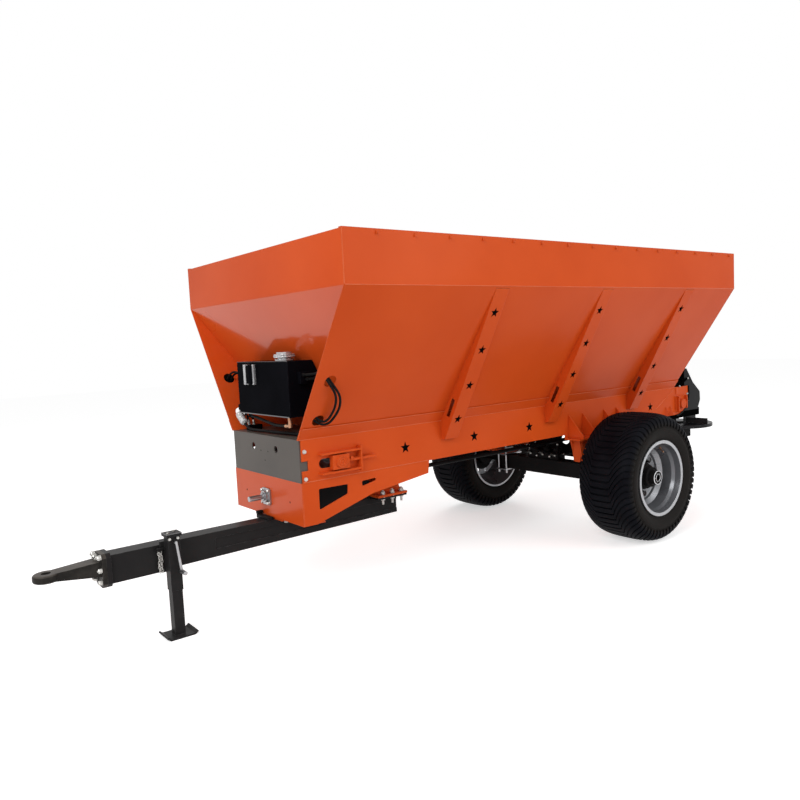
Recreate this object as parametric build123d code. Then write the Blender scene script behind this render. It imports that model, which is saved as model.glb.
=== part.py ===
from build123d import *
import math
import os

os.makedirs("parts", exist_ok=True)

# Frame of the part: +X forward to the tow eye, +Y to the left wheel, +Z up from the ground.
# Lengths named "back" are measured rearward from the front face of the hopper.

# Hopper
hopper_length = 4105
hopper_half_width = 1050
hopper_top = 2290
band_height = 303
hopper_sheet = 6
rim_fold = 28
front_wall_slope = 0.5
wing_hole_radius = 40
wing_hole_back = 108
wing_hole_rises = (355, 115)

# Lower frame under the hopper
frame_half_width = 457
frame_top = 1103
frame_bottom = 839
frame_sheet = 8
frame_flange = 60
frame_front_back = 19
frame_rear_overhang = 245
frame_end_radius = 220
edging_thickness = 12
edging_reach = 12
notch_length = 44
lap_sheet = 6
lap_rise = 69

# Outer ribs of the hopper sides
rib_fronts_back = (1150, 2246, 3338)
rib_width = 120
rib_sheet = 5
rib_foot_drop = 131
rib_foot_reach = 33
rib_head_gap = 12
rib_star_count = 4
rib_star_foot_gap = 142
rib_star_head_gap = 150
rib_star_radius = 26
rib_slot_rise = 94
rib_slot_length = 140
rib_slot_width = 30
frame_star_backs = (821, 1464, 2058, 3705)
frame_star_rise = 116
frame_star_radius = 32

# Front box, its cover and the trussed side plates
box_depth = 269
box_sheet = 8
box_pad_length = 160
cover_back = 8
cover_return = 62
cover_hole_y = 155
cover_hole_drop = 81
cover_hole_radius = 24
truss_rear_back = 1025
truss_corners = ((109, 0), (538, 122), (1014, 182))
truss_windows = (
    ((128, 217), (346, 214), (341, 152), (127, 84)),
    ((453, 216), (667, 224), (455, 181)),
)
window_corner_radius = 9

# Oil tank on the front wall
tank_half_width = 350
tank_foot_rise = 137
tank_top_share = 0.543
tank_front_back = 20
tank_wall_gap = 6
shelf_sheet = 6
shelf_lip = 8
cap_radius = 65
cap_back = 92
cap_y = 190
gauge_y_limits = (-190, -145)
gauge_drops = (151, 17)
gauge_depth = 26
tank_strip_limits = (200, 260)

# Floor conveyor
shaft_rise = 102
front_shaft_back = 280
rear_shaft_overhang = 105
shaft_radius = 25
sprocket_radius = 70
chain_thickness = 20
chain_inset = 85
chain_width = 40
slat_end_gap = 72
slat_width = 40
slat_pitch = 262
slat_inset = 4
floor_sheet = 6
floor_end_gap = 100
wall_foot_gap = 14
crossmember_count = 5
crossmember_end_gap = 205
crossmember_first_back = 800
crossmember_size = 60
bearing_half_length = 95
bearing_half_height = 75
bearing_sheet = 8
bearing_boss_radius = 45
bearing_boss_reach = 40
bearing_rib_limits = (62, 76)
bearing_rib_reach = 34
shaft_reach = 30
shaft_bore_reach = 33
tensioner_front_back = 138
tensioner_slot_reach = 110
tensioner_rear_back = 427
tensioner_reach = 40
tensioner_cap_radius = 38
tensioner_cap_reach = 50
tensioner_rail = 12
tensioner_rail_rise = 55
tensioner_end_limits = (-76, 85)
tensioner_end_sheet = 10
tensioner_screw_y = 24
tensioner_screw_radius = 9.7
tensioner_screw_back = 554

# Axle, suspension and wheels
axle_back = 2840
tyre_radius = 507
tyre_width = 464
tyre_middle_y = 893
rim_width = 430
rim_flange_radius = 297
bead_radius = 286
disc_outer_offset = 18
disc_inner_offset = 4
disc_bore_radius = 111
hand_hole_count = 10
hand_hole_ring = 168
hand_hole_radius = 24
hand_hole_turn = 142
axle_size = 130
axle_drop = 22
axle_half_length = 620
spindle_radius = 40
hub_flange_radius = 150
hub_barrel_radius = 108
hub_cap_y = 1075
spring_y = 515
spring_width = 70
spring_eye_reach = 240
spring_eye_rise = 152
spring_stations = (115, 150, 195, 240)
leaf_thickness = 12
clamp_half = 110
clamp_width = 60
clamp_sheet = 12
stud_radius = 9
stud_reach = 28
hanger_pin_radius = 12
shelf_drop = 27
shelf_half_length = 350
shelf_reach = 605
fin_offsets = (303, 124, -169, -344)

# Drawbar, tow eye and jack
drawbar_half_width = 60.5
drawbar_bottom = 381
drawbar_top = 546
drawbar_wall = 8
drawbar_front = 1024
drawbar_step = 650
drawbar_groove_front = 395
rear_bar_rise = 6
rear_bar_bottom_rise = 34
rear_bar_taper = 23
groove_limits = (64, 131)
groove_depth = 5
drawbar_rear_back = 1025
front_pad_limits = (20, 180)
rear_pad_limits = (790, 1050)
pad_half_width = 155
pad_sheet = 16
rear_beam_limits = (880, 990)
rear_beam_rise = 190
gusset_y_limits = (66, 80)
eye_reach = 1349
eye_height = 484
eye_outer_radius = 70
eye_bore_radius = 26
eye_thickness = 45
eye_edge_radius = 14
eye_flange_sheet = 26
eye_flange_half_width = 76
eye_flange_limits = (366, 560)
arm_half_width = 58
arm_limits = (432, 520)
jack_reach = 685
jack_y = 112
jack_tube = 70
jack_leg = 62
jack_top = 600
jack_tube_bottom = 275
jack_travel = 250
jack_head_sheet = 18
jack_cap_gap = 8
foot_length = 190
foot_width = 150
foot_thickness = 10
foot_rise = 16

# Power shaft and spinner discs
pto_rise = 130
pto_radius = 17.5
pto_neck_radius = 15
pto_reach = 126
pto_neck_reach = 46
line_radius = 25
line_front_back = 60
cover_limits = (190, 785)
line_cover_half_width = 60
line_cover_height = 210
line_cover_sheet = 4
guard_back = 3050
guard_depth = 294
guard_fold = 40
guard_sheet = 5
running_gap = 0.05
seat_gap = 0.3
disc_overhang = 305
disc_y = 330
disc_radius = 300
disc_height = 730
disc_sheet = 6
disc_skirt = 30
vane_height = 55
vane_count = 4
gearbox_drop = 90
gearbox_half = 75
spinner_floor_drop = 170
vane_turn = 0
drop_box_front = 140
drop_box_depth = 100

# Rear gate and hood
gate_side_lap = 25
gate_opening_height = 405
gate_lap = 20
gate_sheet = 8
gate_play = 5
gate_travel = 300
gate_rod_radius = 12
gate_rod_offset = 28
gate_opening_inset = 97
guide_gap = 10
guide_width = 50
hood_cheek = 8
hood_sheet = 6
hood_front_overhang = 195
hood_table = ((240, 431), (350, 291), (475, 191), (480, 109), (435, 21))

# Hoses
hose_radius = 7.5
tank_hose_radius = 9.5

# Heights and stations that follow from the values above
band_bottom = hopper_top - band_height
lap_top = frame_top + lap_rise
frame_rear_back = hopper_length + frame_rear_overhang
rear_shaft_back = hopper_length + rear_shaft_overhang
disc_back = hopper_length + disc_overhang
shaft_height = frame_bottom + shaft_rise
wall_foot = shaft_height + sprocket_radius + chain_thickness + wall_foot_gap
box_bottom = frame_bottom - box_depth
pto_height = box_bottom + pto_rise
rear_bar_top = drawbar_top + rear_bar_rise
rear_bar_bottom = drawbar_bottom + rear_bar_bottom_rise
tank_bottom = frame_top + tank_foot_rise
tank_top = frame_top + tank_top_share * (band_bottom - frame_top)
gate_opening_top = wall_foot + gate_opening_height
gate_top = gate_opening_top + gate_lap
rib_foot_height = frame_top - rib_foot_drop
rib_foot_y = frame_half_width + rib_foot_reach
rib_head_height = band_bottom - rib_head_gap
shelf_height = frame_bottom - shelf_drop
spinner_floor = disc_height - spinner_floor_drop
slat_half_length = frame_half_width - slat_end_gap
chain_y = slat_half_length - chain_inset
gate_opening_half_width = frame_half_width - gate_opening_inset
gate_half_width = gate_opening_half_width + gate_side_lap
guide_limits = (gate_opening_half_width + guide_gap, gate_opening_half_width + guide_gap + guide_width)
hood_y = frame_half_width - frame_sheet - hood_cheek
valve_height = frame_top + wing_hole_rises[0]

# The part's origin lies under the middle of its overall length
front_reach = eye_reach + eye_outer_radius
rear_reach = disc_back + disc_radius
front_x = (rear_reach - front_reach) / 2


def at(back):
    # Station along X of a place given by its distance behind the hopper's front face
    return front_x - back


def block(x_limits, y_limits, z_limits):
    limits = (x_limits, y_limits, z_limits)
    middle = [(min(pair) + max(pair)) / 2 for pair in limits]
    size = [max(pair) - min(pair) for pair in limits]
    return Pos(*middle) * Box(*size)


def prism(points, run):
    # Straight prism: a planar outline in space, pushed along the vector run
    face = Face(Wire.make_polygon(points, close=True))
    return Part() + Solid.extrude(face, Vector(*run))


def prism_x(outline, x_limits):
    low, high = min(x_limits), max(x_limits)
    return prism([(low, y, z) for y, z in outline], (high - low, 0, 0))


def prism_y(outline, y_limits):
    low, high = min(y_limits), max(y_limits)
    return prism([(x, low, z) for x, z in outline], (0, high - low, 0))


def prism_z(outline, z_limits):
    low, high = min(z_limits), max(z_limits)
    return prism([(x, y, low) for x, y in outline], (0, 0, high - low))


def rod(start, end, radius):
    axis = Vector(*end) - Vector(*start)
    foot = (Align.CENTER, Align.CENTER, Align.MIN)
    return Plane(origin=start, z_dir=axis) * Cylinder(radius, axis.length, align=foot)


def folded(points, thickness):
    # Closed outline of a sheet folded along points, with its thickness on the left of the way
    lines = []
    for start, end in zip(points, points[1:]):
        along = (Vector(*end) - Vector(*start)).normalized()
        normal = Vector(-along.Y, along.X)
        lines.append((Vector(*start) + normal * thickness, along))
    inner = [lines[0][0]]
    for (point, way), (other, other_way) in zip(lines, lines[1:]):
        cross = way.X * other_way.Y - way.Y * other_way.X
        gap = other - point
        reach = (gap.X * other_way.Y - gap.Y * other_way.X) / cross
        inner.append(point + way * reach)
    last, way = lines[-1]
    end_gap = Vector(*points[-1]) - last
    inner.append(last + way * end_gap.dot(way))
    return list(points) + [(p.X, p.Y) for p in reversed(inner)]


def star(radius, thickness):
    # Five-pointed prism about Z, one point towards +Y
    waist = 0.42
    corners = []
    for step in range(10):
        reach = radius if step % 2 == 0 else radius * waist
        turn = math.radians(90 + 36 * step)
        corners.append((reach * math.cos(turn), reach * math.sin(turn)))
    return prism_z(corners, (-thickness, thickness))


def save(name, shape):
    export_step(shape, f"parts/{name}.step")


def group(pieces):
    # Several separate solids kept as one piece
    solids = [solid for piece in pieces for solid in piece.solids()]
    return Compound(children=solids)


def both_sides(left):
    return group([left, mirror(left, about=Plane.XZ)])


def save_pair(name, left):
    save(f"{name}_left", left)
    save(f"{name}_right", mirror(left, about=Plane.XZ))


# Outer line of the sloping side sheet, set in by the lap sheet at its foot
side_run = hopper_half_width - frame_half_width
side_rise = band_bottom - frame_top
side_lean = side_run / side_rise
side_length = math.hypot(side_run, side_rise)
panel_foot_y = frame_half_width - lap_sheet * side_length / side_rise
panel_lean = (hopper_half_width - panel_foot_y) / side_rise


def panel_y(height):
    return panel_foot_y + (height - frame_top) * panel_lean


def wall_back(height):
    # Outer face of the sloping front wall
    return (band_bottom - height) * front_wall_slope


def side_outline():
    # Way of the side sheet's outer face, from its foot up to the folded rim
    return [
        (panel_foot_y, frame_top),
        (hopper_half_width, band_bottom),
        (hopper_half_width, hopper_top),
        (hopper_half_width - rim_fold, hopper_top),
    ]


def inner_room(x_limits):
    # Everything between the two side sheets, as a tool for cutting end walls to width
    rim_inner, top_corner, bend, foot = folded(side_outline(), hopper_sheet)[4:]
    half = [(foot[0] - (foot[1] - frame_top) * panel_lean, frame_top), bend, top_corner]
    lower = [(frame_half_width - frame_sheet, wall_foot - 100), (frame_half_width - frame_sheet, frame_top)]
    right = [(-y, z) for y, z in reversed(lower + half)]
    return prism_x(lower + half + right, x_limits)


def beside(back, height, reach):
    # Point at a distance reach off the side sheet, square to it; height is where it stands on the sheet
    outward = reach * side_rise / side_length
    downward = reach * side_run / side_length
    return (at(back), panel_y(height) + outward, height - downward)


def hopper_sides():
    outline = folded(side_outline(), hopper_sheet)
    foot = outline[-1]
    outline[-1] = (foot[0] - (foot[1] - frame_top) * panel_lean, frame_top)
    sheet = prism_x(outline, (at(0), at(hopper_length)))
    for rise in wing_hole_rises:
        height = frame_top + rise
        ends = [beside(wing_hole_back, height, reach) for reach in (-60, 60)]
        sheet -= rod(*ends, wing_hole_radius)
    return sheet


def hopper_front():
    foot_back = wall_back(frame_top)
    way = [
        (at(rim_fold), hopper_top),
        (at(0), hopper_top),
        (at(0), band_bottom),
        (at(foot_back), frame_top),
        (at(foot_back), wall_foot),
    ]
    wall = prism_y(folded(way[::-1], hopper_sheet), (-hopper_half_width, hopper_half_width))
    room = inner_room((at(-10), at(hopper_length)))
    return wall & room


def hopper_rear():
    x_limits = (at(hopper_length), at(hopper_length - hopper_sheet))
    wall = block(x_limits, (-hopper_half_width, hopper_half_width), (wall_foot, hopper_top))
    wall = wall & inner_room((at(-10), at(hopper_length + 10)))
    half = gate_opening_half_width
    opening = block((at(hopper_length + 20), at(hopper_length - 20)), (-half, half), (0, gate_opening_top))
    return wall - opening


def frame_side():
    web = block(
        (at(frame_front_back), at(frame_rear_back)),
        (frame_half_width - frame_sheet, frame_half_width),
        (frame_bottom, frame_top),
    )
    rear_edges = web.edges().filter_by(Axis.Y).group_by(Axis.X)[0]
    web = fillet(rear_edges.sort_by(Axis.Z)[0], frame_end_radius)
    flange = block(
        (at(frame_front_back), at(frame_rear_back - frame_end_radius)),
        (frame_half_width - frame_flange, frame_half_width - frame_sheet),
        (frame_bottom, frame_bottom + frame_sheet),
    )
    lap_foot = (frame_half_width, frame_top)
    lap_head = (frame_half_width + (lap_top - frame_top) * side_lean, lap_top)
    lap = prism_x(
        [lap_foot, lap_head, (panel_y(lap_top), lap_top), (panel_foot_y, frame_top)],
        (at(0), at(hopper_length)),
    )
    side = web + flange + lap
    for back in frame_star_backs:
        cutter = Pos(at(back), frame_half_width, frame_bottom + frame_star_rise) * Rot(90, 0, 0)
        side -= cutter * star(frame_star_radius, 2 * frame_sheet)
    slot_width = (frame_half_width - 2 * frame_sheet, frame_half_width + frame_sheet)
    slot_height = (shaft_height - shaft_radius - 5, shaft_height + shaft_radius + 5)
    slot_end = front_shaft_back - tensioner_slot_reach
    side -= block((at(slot_end), at(front_shaft_back + 70)), slot_width, slot_height)
    side -= rod(*[(at(slot_end), y, shaft_height) for y in slot_width], shaft_radius + 5)
    side -= block((at(0), at(frame_front_back + notch_length)), slot_width, slot_height)
    bore = rod(
        (at(rear_shaft_back), frame_half_width - 20, shaft_height),
        (at(rear_shaft_back), frame_half_width + 20, shaft_height),
        shaft_radius + 5,
    )
    return side - bore


def edging():
    # Rubber strip round the frame side's rounded rear end
    x = at(frame_rear_back - frame_end_radius)
    z = frame_bottom + frame_end_radius
    low = frame_half_width - frame_sheet
    high = frame_half_width + edging_reach
    inner = frame_end_radius + seat_gap
    ring = rod((x, low, z), (x, high, z), inner + edging_thickness)
    ring -= rod((x, low - 1, z), (x, high + 1, z), inner)
    corner = block((x - 2 * frame_end_radius, x), (low - 1, high + 1), (z - 2 * frame_end_radius, z))
    return ring & corner


def rib_outline():
    return [
        (frame_half_width, rib_foot_height),
        (rib_foot_y, rib_foot_height),
        (panel_y(rib_head_height), rib_head_height),
        (panel_y(lap_top), lap_top),
        (frame_half_width + (lap_top - frame_top) * side_lean, lap_top),
        (frame_half_width, frame_top),
    ]


def rib(front_back):
    foot = Vector(rib_foot_y, rib_foot_height)
    head = Vector(panel_y(rib_head_height), rib_head_height)
    along = (head - foot).normalized()
    shell = prism_x(rib_outline(), (at(front_back), at(front_back + rib_width)))
    inset = Vector(-along.Y, along.X) * rib_sheet
    low = foot + inset - along * 100
    high = head + inset + along * 100
    hollow = prism_x(
        [(low.X, low.Y), (high.X, high.Y), (high.X - 600, high.Y), (low.X - 600, low.Y)],
        (at(front_back + rib_sheet), at(front_back + rib_width - rib_sheet)),
    )
    piece = shell - hollow
    lean = math.degrees(math.atan2(along.X, along.Y))
    slot_height = frame_top + rib_slot_rise
    flange_y = rib_foot_y + (slot_height - rib_foot_height) * along.X / along.Y
    slot_y = (flange_y + panel_y(slot_height)) / 2
    slot = Box(3 * rib_width, rib_slot_width, rib_slot_length)
    piece -= Pos(at(front_back), slot_y, slot_height) * Rot(-lean, 0, 0) * slot
    middle = front_back + rib_width / 2
    lowest = rib_foot_height + rib_star_foot_gap
    pitch = (rib_head_height - rib_star_head_gap - lowest) / (rib_star_count - 1)
    for step in range(rib_star_count):
        height = lowest + step * pitch
        star_y = rib_foot_y + (height - rib_foot_height) * along.X / along.Y
        turned = Pos(at(middle), star_y, height) * Rot(-lean, 0, 0) * Rot(90, 0, 0)
        piece -= turned * star(rib_star_radius, 3 * rib_sheet)
    return piece


def ribs():
    return group([rib(back) for back in rib_fronts_back])


def front_cover():
    inner = frame_half_width - frame_sheet
    face_limits = (at(cover_back), at(cover_back + frame_sheet))
    face = block(face_limits, (-inner, inner), (frame_bottom, frame_top))
    deck_end = at(wall_back(frame_top))
    deck = block((at(cover_back), deck_end), (-inner, inner), (frame_top - frame_sheet, frame_top))
    cover = face + deck
    hole_height = frame_top - cover_hole_drop
    tab_x = (at(cover_back), at(cover_back + cover_return))
    for side in (-1, 1):
        tab_y = (side * inner, side * (inner - frame_sheet))
        cover += block(tab_x, tab_y, (frame_bottom + frame_sheet, frame_top))
        hole_y = side * cover_hole_y
        cover -= rod((at(-20), hole_y, hole_height), (at(60), hole_y, hole_height), cover_hole_radius)
    return cover


def front_box():
    plate = block(
        (at(cover_back), at(cover_back + box_sheet)),
        (-frame_half_width, frame_half_width),
        (box_bottom, frame_bottom),
    )
    pad = block(
        (at(cover_back), at(cover_back + box_pad_length)),
        (-frame_half_width + box_sheet, frame_half_width - box_sheet),
        (box_bottom, box_bottom + box_sheet),
    )
    box = plate + pad
    return box - rod((at(-50), 0, pto_height), (at(60), 0, pto_height), 42)


def truss_plate():
    front = at(cover_back + box_sheet)
    outline = [(front, frame_bottom), (front, box_bottom)]
    outline += [(at(back), box_bottom + rise) for back, rise in truss_corners]
    outline.append((at(truss_rear_back), frame_bottom))
    plate = prism_y(outline, (frame_half_width - box_sheet, frame_half_width))
    for corners in truss_windows:
        points = [(at(back), box_bottom + rise) for back, rise in corners]
        cutter = prism_y(points, (frame_half_width - 40, frame_half_width + 40))
        plate -= fillet(cutter.edges().filter_by(Axis.Y), window_corner_radius)
    return plate


def oil_tank():
    top_back = wall_back(tank_top) - tank_wall_gap
    foot_back = wall_back(tank_bottom) - tank_wall_gap
    outline = [
        (at(tank_front_back), tank_bottom),
        (at(tank_front_back), tank_top),
        (at(top_back), tank_top),
        (at(foot_back), tank_bottom),
    ]
    return prism_y(outline, (-tank_half_width, tank_half_width))


def tank_stand():
    # Shelf under the tank and two strips behind it, all standing on the sloping wall
    low = tank_bottom - shelf_sheet
    shelf = [
        (at(tank_front_back - shelf_lip), low),
        (at(tank_front_back - shelf_lip), tank_bottom),
        (at(wall_back(tank_bottom)), tank_bottom),
        (at(wall_back(low)), low),
    ]
    stand = prism_y(shelf, (-tank_half_width, tank_half_width))
    strip = [
        (at(wall_back(tank_bottom) - tank_wall_gap), tank_bottom),
        (at(wall_back(tank_top) - tank_wall_gap), tank_top),
        (at(wall_back(tank_top)), tank_top),
        (at(wall_back(tank_bottom)), tank_bottom),
    ]
    for side in (-1, 1):
        stand += prism_y(strip, [side * y for y in tank_strip_limits])
    return stand


def tank_cap():
    neck = rod((at(cap_back), cap_y, tank_top), (at(cap_back), cap_y, tank_top + 22), 45)
    lid = rod((at(cap_back), cap_y, tank_top + 22), (at(cap_back), cap_y, tank_top + 42), cap_radius)
    crown = rod((at(cap_back), cap_y, tank_top + 42), (at(cap_back), cap_y, tank_top + 56), 50)
    return neck + lid + crown


def level_gauge():
    x_limits = (at(tank_front_back), at(tank_front_back - gauge_depth))
    return block(x_limits, gauge_y_limits, [tank_top - drop for drop in gauge_drops])


def tensioner():
    outer = frame_half_width
    rail_limits = (at(tensioner_front_back), at(tensioner_rear_back))
    rail_y = (outer, outer + tensioner_reach)
    inner_rise = tensioner_rail_rise
    outer_rise = tensioner_rail_rise + tensioner_rail
    frame = block(rail_limits, rail_y, (shaft_height + inner_rise, shaft_height + outer_rise))
    frame += block(rail_limits, rail_y, (shaft_height - outer_rise, shaft_height - inner_rise))
    end_limits = (at(tensioner_rear_back), at(tensioner_rear_back + tensioner_end_sheet))
    end_height = [shaft_height + rise for rise in tensioner_end_limits]
    frame += block(end_limits, (outer, outer + tensioner_reach + 5), end_height)
    screw_y = outer + tensioner_screw_y
    frame -= rod(
        (at(tensioner_rear_back - 10), screw_y, shaft_height),
        (at(tensioner_rear_back + 20), screw_y, shaft_height),
        tensioner_screw_radius + seat_gap,
    )
    slide_height = (shaft_height - inner_rise + 10, shaft_height + inner_rise - 10)
    slide_limits = (at(front_shaft_back - 62), at(front_shaft_back + 61))
    bearing = block(slide_limits, (outer + 1, outer + tensioner_reach), slide_height)
    screw_front = (at(front_shaft_back + 60), screw_y, shaft_height)
    bearing += rod(screw_front, (at(tensioner_screw_back), screw_y, shaft_height), tensioner_screw_radius)
    cap_ends = [(at(front_shaft_back), outer + reach, shaft_height) for reach in (1, tensioner_cap_reach)]
    bearing += rod(*cap_ends, tensioner_cap_radius)
    return group([frame, bearing - shaft_bore(front_shaft_back)])


def shaft_bore(back):
    y_limits = (frame_half_width - 20, frame_half_width + shaft_bore_reach)
    ends = [(at(back), y, shaft_height) for y in y_limits]
    return rod(*ends, shaft_radius + seat_gap)


def rear_bearing():
    outer = frame_half_width
    x = at(rear_shaft_back)
    z_limits = (shaft_height - bearing_half_height, shaft_height + bearing_half_height)
    body = block((x - bearing_half_length, x + bearing_half_length), (outer, outer + bearing_sheet), z_limits)
    boss_ends = [(x, outer + reach, shaft_height) for reach in (0, bearing_boss_reach)]
    body += rod(*boss_ends, bearing_boss_radius)
    for side in (-1, 1):
        rib_x = [x + side * offset for offset in bearing_rib_limits]
        body += block(rib_x, (outer, outer + bearing_rib_reach), z_limits)
    # Keep the bracket inside the frame side's rounded end
    end_x = at(frame_rear_back - frame_end_radius)
    end_z = frame_bottom + frame_end_radius
    depth = (outer - 1, outer + bearing_boss_reach + 1)
    corner = block((end_x - 2 * frame_end_radius, end_x), depth, (end_z - 2 * frame_end_radius, end_z))
    corner -= rod((end_x, depth[0], end_z), (end_x, depth[1], end_z), frame_end_radius - seat_gap)
    return body - corner - shaft_bore(rear_shaft_back)


def conveyor_shaft(back):
    reach = frame_half_width + shaft_reach
    shaft = rod((at(back), -reach, shaft_height), (at(back), reach, shaft_height), shaft_radius)
    radius = sprocket_radius - seat_gap
    for side in (-1, 1):
        ends = sorted((side * (chain_y - 15), side * (chain_y + 15)))
        shaft += rod((at(back), ends[0], shaft_height), (at(back), ends[1], shaft_height), radius)
    return shaft


def stadium(radius, y_limits):
    low, high = min(y_limits), max(y_limits)
    front = rod((at(front_shaft_back), low, shaft_height), (at(front_shaft_back), high, shaft_height), radius)
    rear = rod((at(rear_shaft_back), low, shaft_height), (at(rear_shaft_back), high, shaft_height), radius)
    middle = block(
        (at(front_shaft_back), at(rear_shaft_back)), (low, high), (shaft_height - radius, shaft_height + radius)
    )
    return front + rear + middle


def conveyor_chain():
    outer = sprocket_radius + chain_thickness
    loop = Part()
    for side in (-1, 1):
        y_limits = (side * (chain_y - chain_width / 2), side * (chain_y + chain_width / 2))
        room_y = (y_limits[0] - 5 * side, y_limits[1] + 5 * side)
        loop += stadium(outer, y_limits) - stadium(sprocket_radius, room_y)
    count = int((rear_shaft_back - front_shaft_back) / slat_pitch)
    y_limits = (-slat_half_length, slat_half_length)
    upper = (shaft_height + sprocket_radius + slat_inset, shaft_height + outer)
    lower = (shaft_height - outer, shaft_height - sprocket_radius - slat_inset)
    for step in range(count + 1):
        front = front_shaft_back + step * slat_pitch
        x_limits = (at(front), at(front + slat_width))
        loop += block(x_limits, y_limits, upper)
        loop += block(x_limits, y_limits, lower)
    return loop


def conveyor_floor():
    x_limits = (at(front_shaft_back + floor_end_gap), at(rear_shaft_back - floor_end_gap))
    inner = frame_half_width - frame_sheet
    top = shaft_height + sprocket_radius - seat_gap
    return block(x_limits, (-inner, inner), (top - floor_sheet, top))


def crossmembers():
    inner = frame_half_width - frame_sheet
    top = shaft_height + sprocket_radius - seat_gap - floor_sheet
    last = hopper_length - crossmember_end_gap
    pitch = (last - crossmember_first_back) / (crossmember_count - 1)
    pieces = []
    for step in range(crossmember_count):
        back = crossmember_first_back + step * pitch
        x_limits = (at(back), at(back + crossmember_size))
        pieces.append(block(x_limits, (-inner, inner), (top - crossmember_size, top)))
    return group(pieces)


axle_x = at(axle_back)
axle_height = tyre_radius - axle_drop
spring_low = axle_height + axle_size / 2 + clamp_sheet
spring_eye_height = axle_height + spring_eye_rise


def axle_beam():
    half = axle_size / 2
    beam_z = (axle_height - half, axle_height + half)
    beam = block((axle_x - half, axle_x + half), (-axle_half_length, axle_half_length), beam_z)
    for side in (-1, 1):
        start = (axle_x, side * (axle_half_length - 20), tyre_radius)
        beam += rod(start, (axle_x, side * 985, tyre_radius), spindle_radius)
    return beam


def hanger(side):
    # Two cheeks and a tapered end plate round one spring eye, with the eye's pin
    middle = axle_x + side * spring_eye_reach
    top = shelf_height - 12
    cheek = [
        (middle - 60, top),
        (middle + 60, top),
        (middle + 26, spring_eye_height - 24),
        (middle - 26, spring_eye_height - 24),
    ]
    piece = Part()
    for cheek_side in (-1, 1):
        inner = spring_y + cheek_side * (spring_width / 2 + 2)
        piece += prism_y(cheek, (inner, inner + cheek_side * 8))
    plate = [
        (spring_y - 76, top),
        (spring_y + 59, top),
        (spring_y + 24, spring_eye_height - 24),
        (spring_y - 24, spring_eye_height - 24),
    ]
    plate_limits = sorted((middle + side * 30, middle + side * 38))
    piece += prism_x(plate, plate_limits)
    reach = spring_width / 2 + 16
    pin_ends = [(middle, spring_y + offset, spring_eye_height) for offset in (-reach, reach)]
    return piece + rod(*pin_ends, hanger_pin_radius)


def axle_mount():
    shelf_x = (axle_x - shelf_half_length, axle_x + shelf_half_length)
    inner = frame_half_width - frame_sheet
    shelf = block(shelf_x, (inner, shelf_reach), (shelf_height - 12, shelf_height))
    mount = shelf + block(shelf_x, (inner, frame_half_width), (shelf_height, frame_bottom))
    fin = [
        (frame_half_width, frame_top - 100),
        (frame_half_width, shelf_height),
        (shelf_reach, shelf_height),
        (shelf_reach, shelf_height + 22),
    ]
    for offset in fin_offsets:
        mount += prism_x(fin, (axle_x + offset - 5, axle_x + offset + 5))
    return mount + hanger(-1) + hanger(1)


def spring_rise(reach):
    # The leaves are flat under the clamp and bend up towards the eyes
    flat = spring_stations[0]
    share = max(0, reach - flat) / (spring_eye_reach - flat)
    top_leaf_middle = spring_low + (len(spring_stations) - 0.5) * leaf_thickness
    return (spring_eye_height - top_leaf_middle) * share ** 2


def leaf_spring():
    y_limits = (spring_y - spring_width / 2, spring_y + spring_width / 2)
    spring = Part()
    for step in range(len(spring_stations)):
        stations = spring_stations[: step + 1]
        places = [-reach for reach in reversed(stations)] + list(stations)
        low = spring_low + step * leaf_thickness
        under = [(axle_x + place, low + spring_rise(abs(place))) for place in places]
        over = [(x, z + leaf_thickness) for x, z in reversed(under)]
        spring += prism_y(under + over, y_limits)
    for side in (-1, 1):
        middle = axle_x + side * spring_eye_reach
        eye_ends = [(middle, y, spring_eye_height) for y in y_limits]
        spring += rod(*eye_ends, hanger_pin_radius + 10)
        spring -= rod(*eye_ends, hanger_pin_radius + seat_gap)
    return spring


def axle_clamps():
    low = axle_height - axle_size / 2
    high = axle_height + axle_size / 2
    top = spring_low + len(spring_stations) * leaf_thickness
    x_limits = (axle_x - clamp_half, axle_x + clamp_half)
    y_limits = (spring_y - clamp_width, spring_y + clamp_width)
    body = Part()
    for plate_low in (low - clamp_sheet, high, top):
        body += block(x_limits, y_limits, (plate_low, plate_low + clamp_sheet))
    for dx in (20 - clamp_half, clamp_half - 20):
        for dy in (12 - clamp_width, clamp_width - 12):
            x, y = axle_x + dx, spring_y + dy
            body += rod((x, y, low - clamp_sheet - stud_reach), (x, y, top + clamp_sheet + 18), stud_radius)
    return body


def turned(profile, middle_y):
    # Solid of revolution about the wheel axis; profile columns are offset along Y and radius
    points = [(axle_x, middle_y + offset, tyre_radius + radius) for offset, radius in profile]
    face = Face(Wire.make_polygon(points, close=True))
    return Part() + Solid.revolve(face, 360, Axis((axle_x, 0, tyre_radius), (0, 1, 0)))


def tyre():
    half = tyre_width / 2
    bead = rim_width / 2 - 12 - seat_gap
    profile = [
        (-bead, bead_radius + seat_gap),
        (-bead, rim_flange_radius + 3),
        (-half + 10, rim_flange_radius + 30),
        (-half, bead_radius + 100),
        (-half + 6, tyre_radius - 50),
        (-half + 30, tyre_radius - 12),
        (-half + 90, tyre_radius - 2),
        (0, tyre_radius),
    ]
    other = [(-offset, radius) for offset, radius in reversed(profile[:-1])]
    return turned(profile + other, tyre_middle_y)


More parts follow.
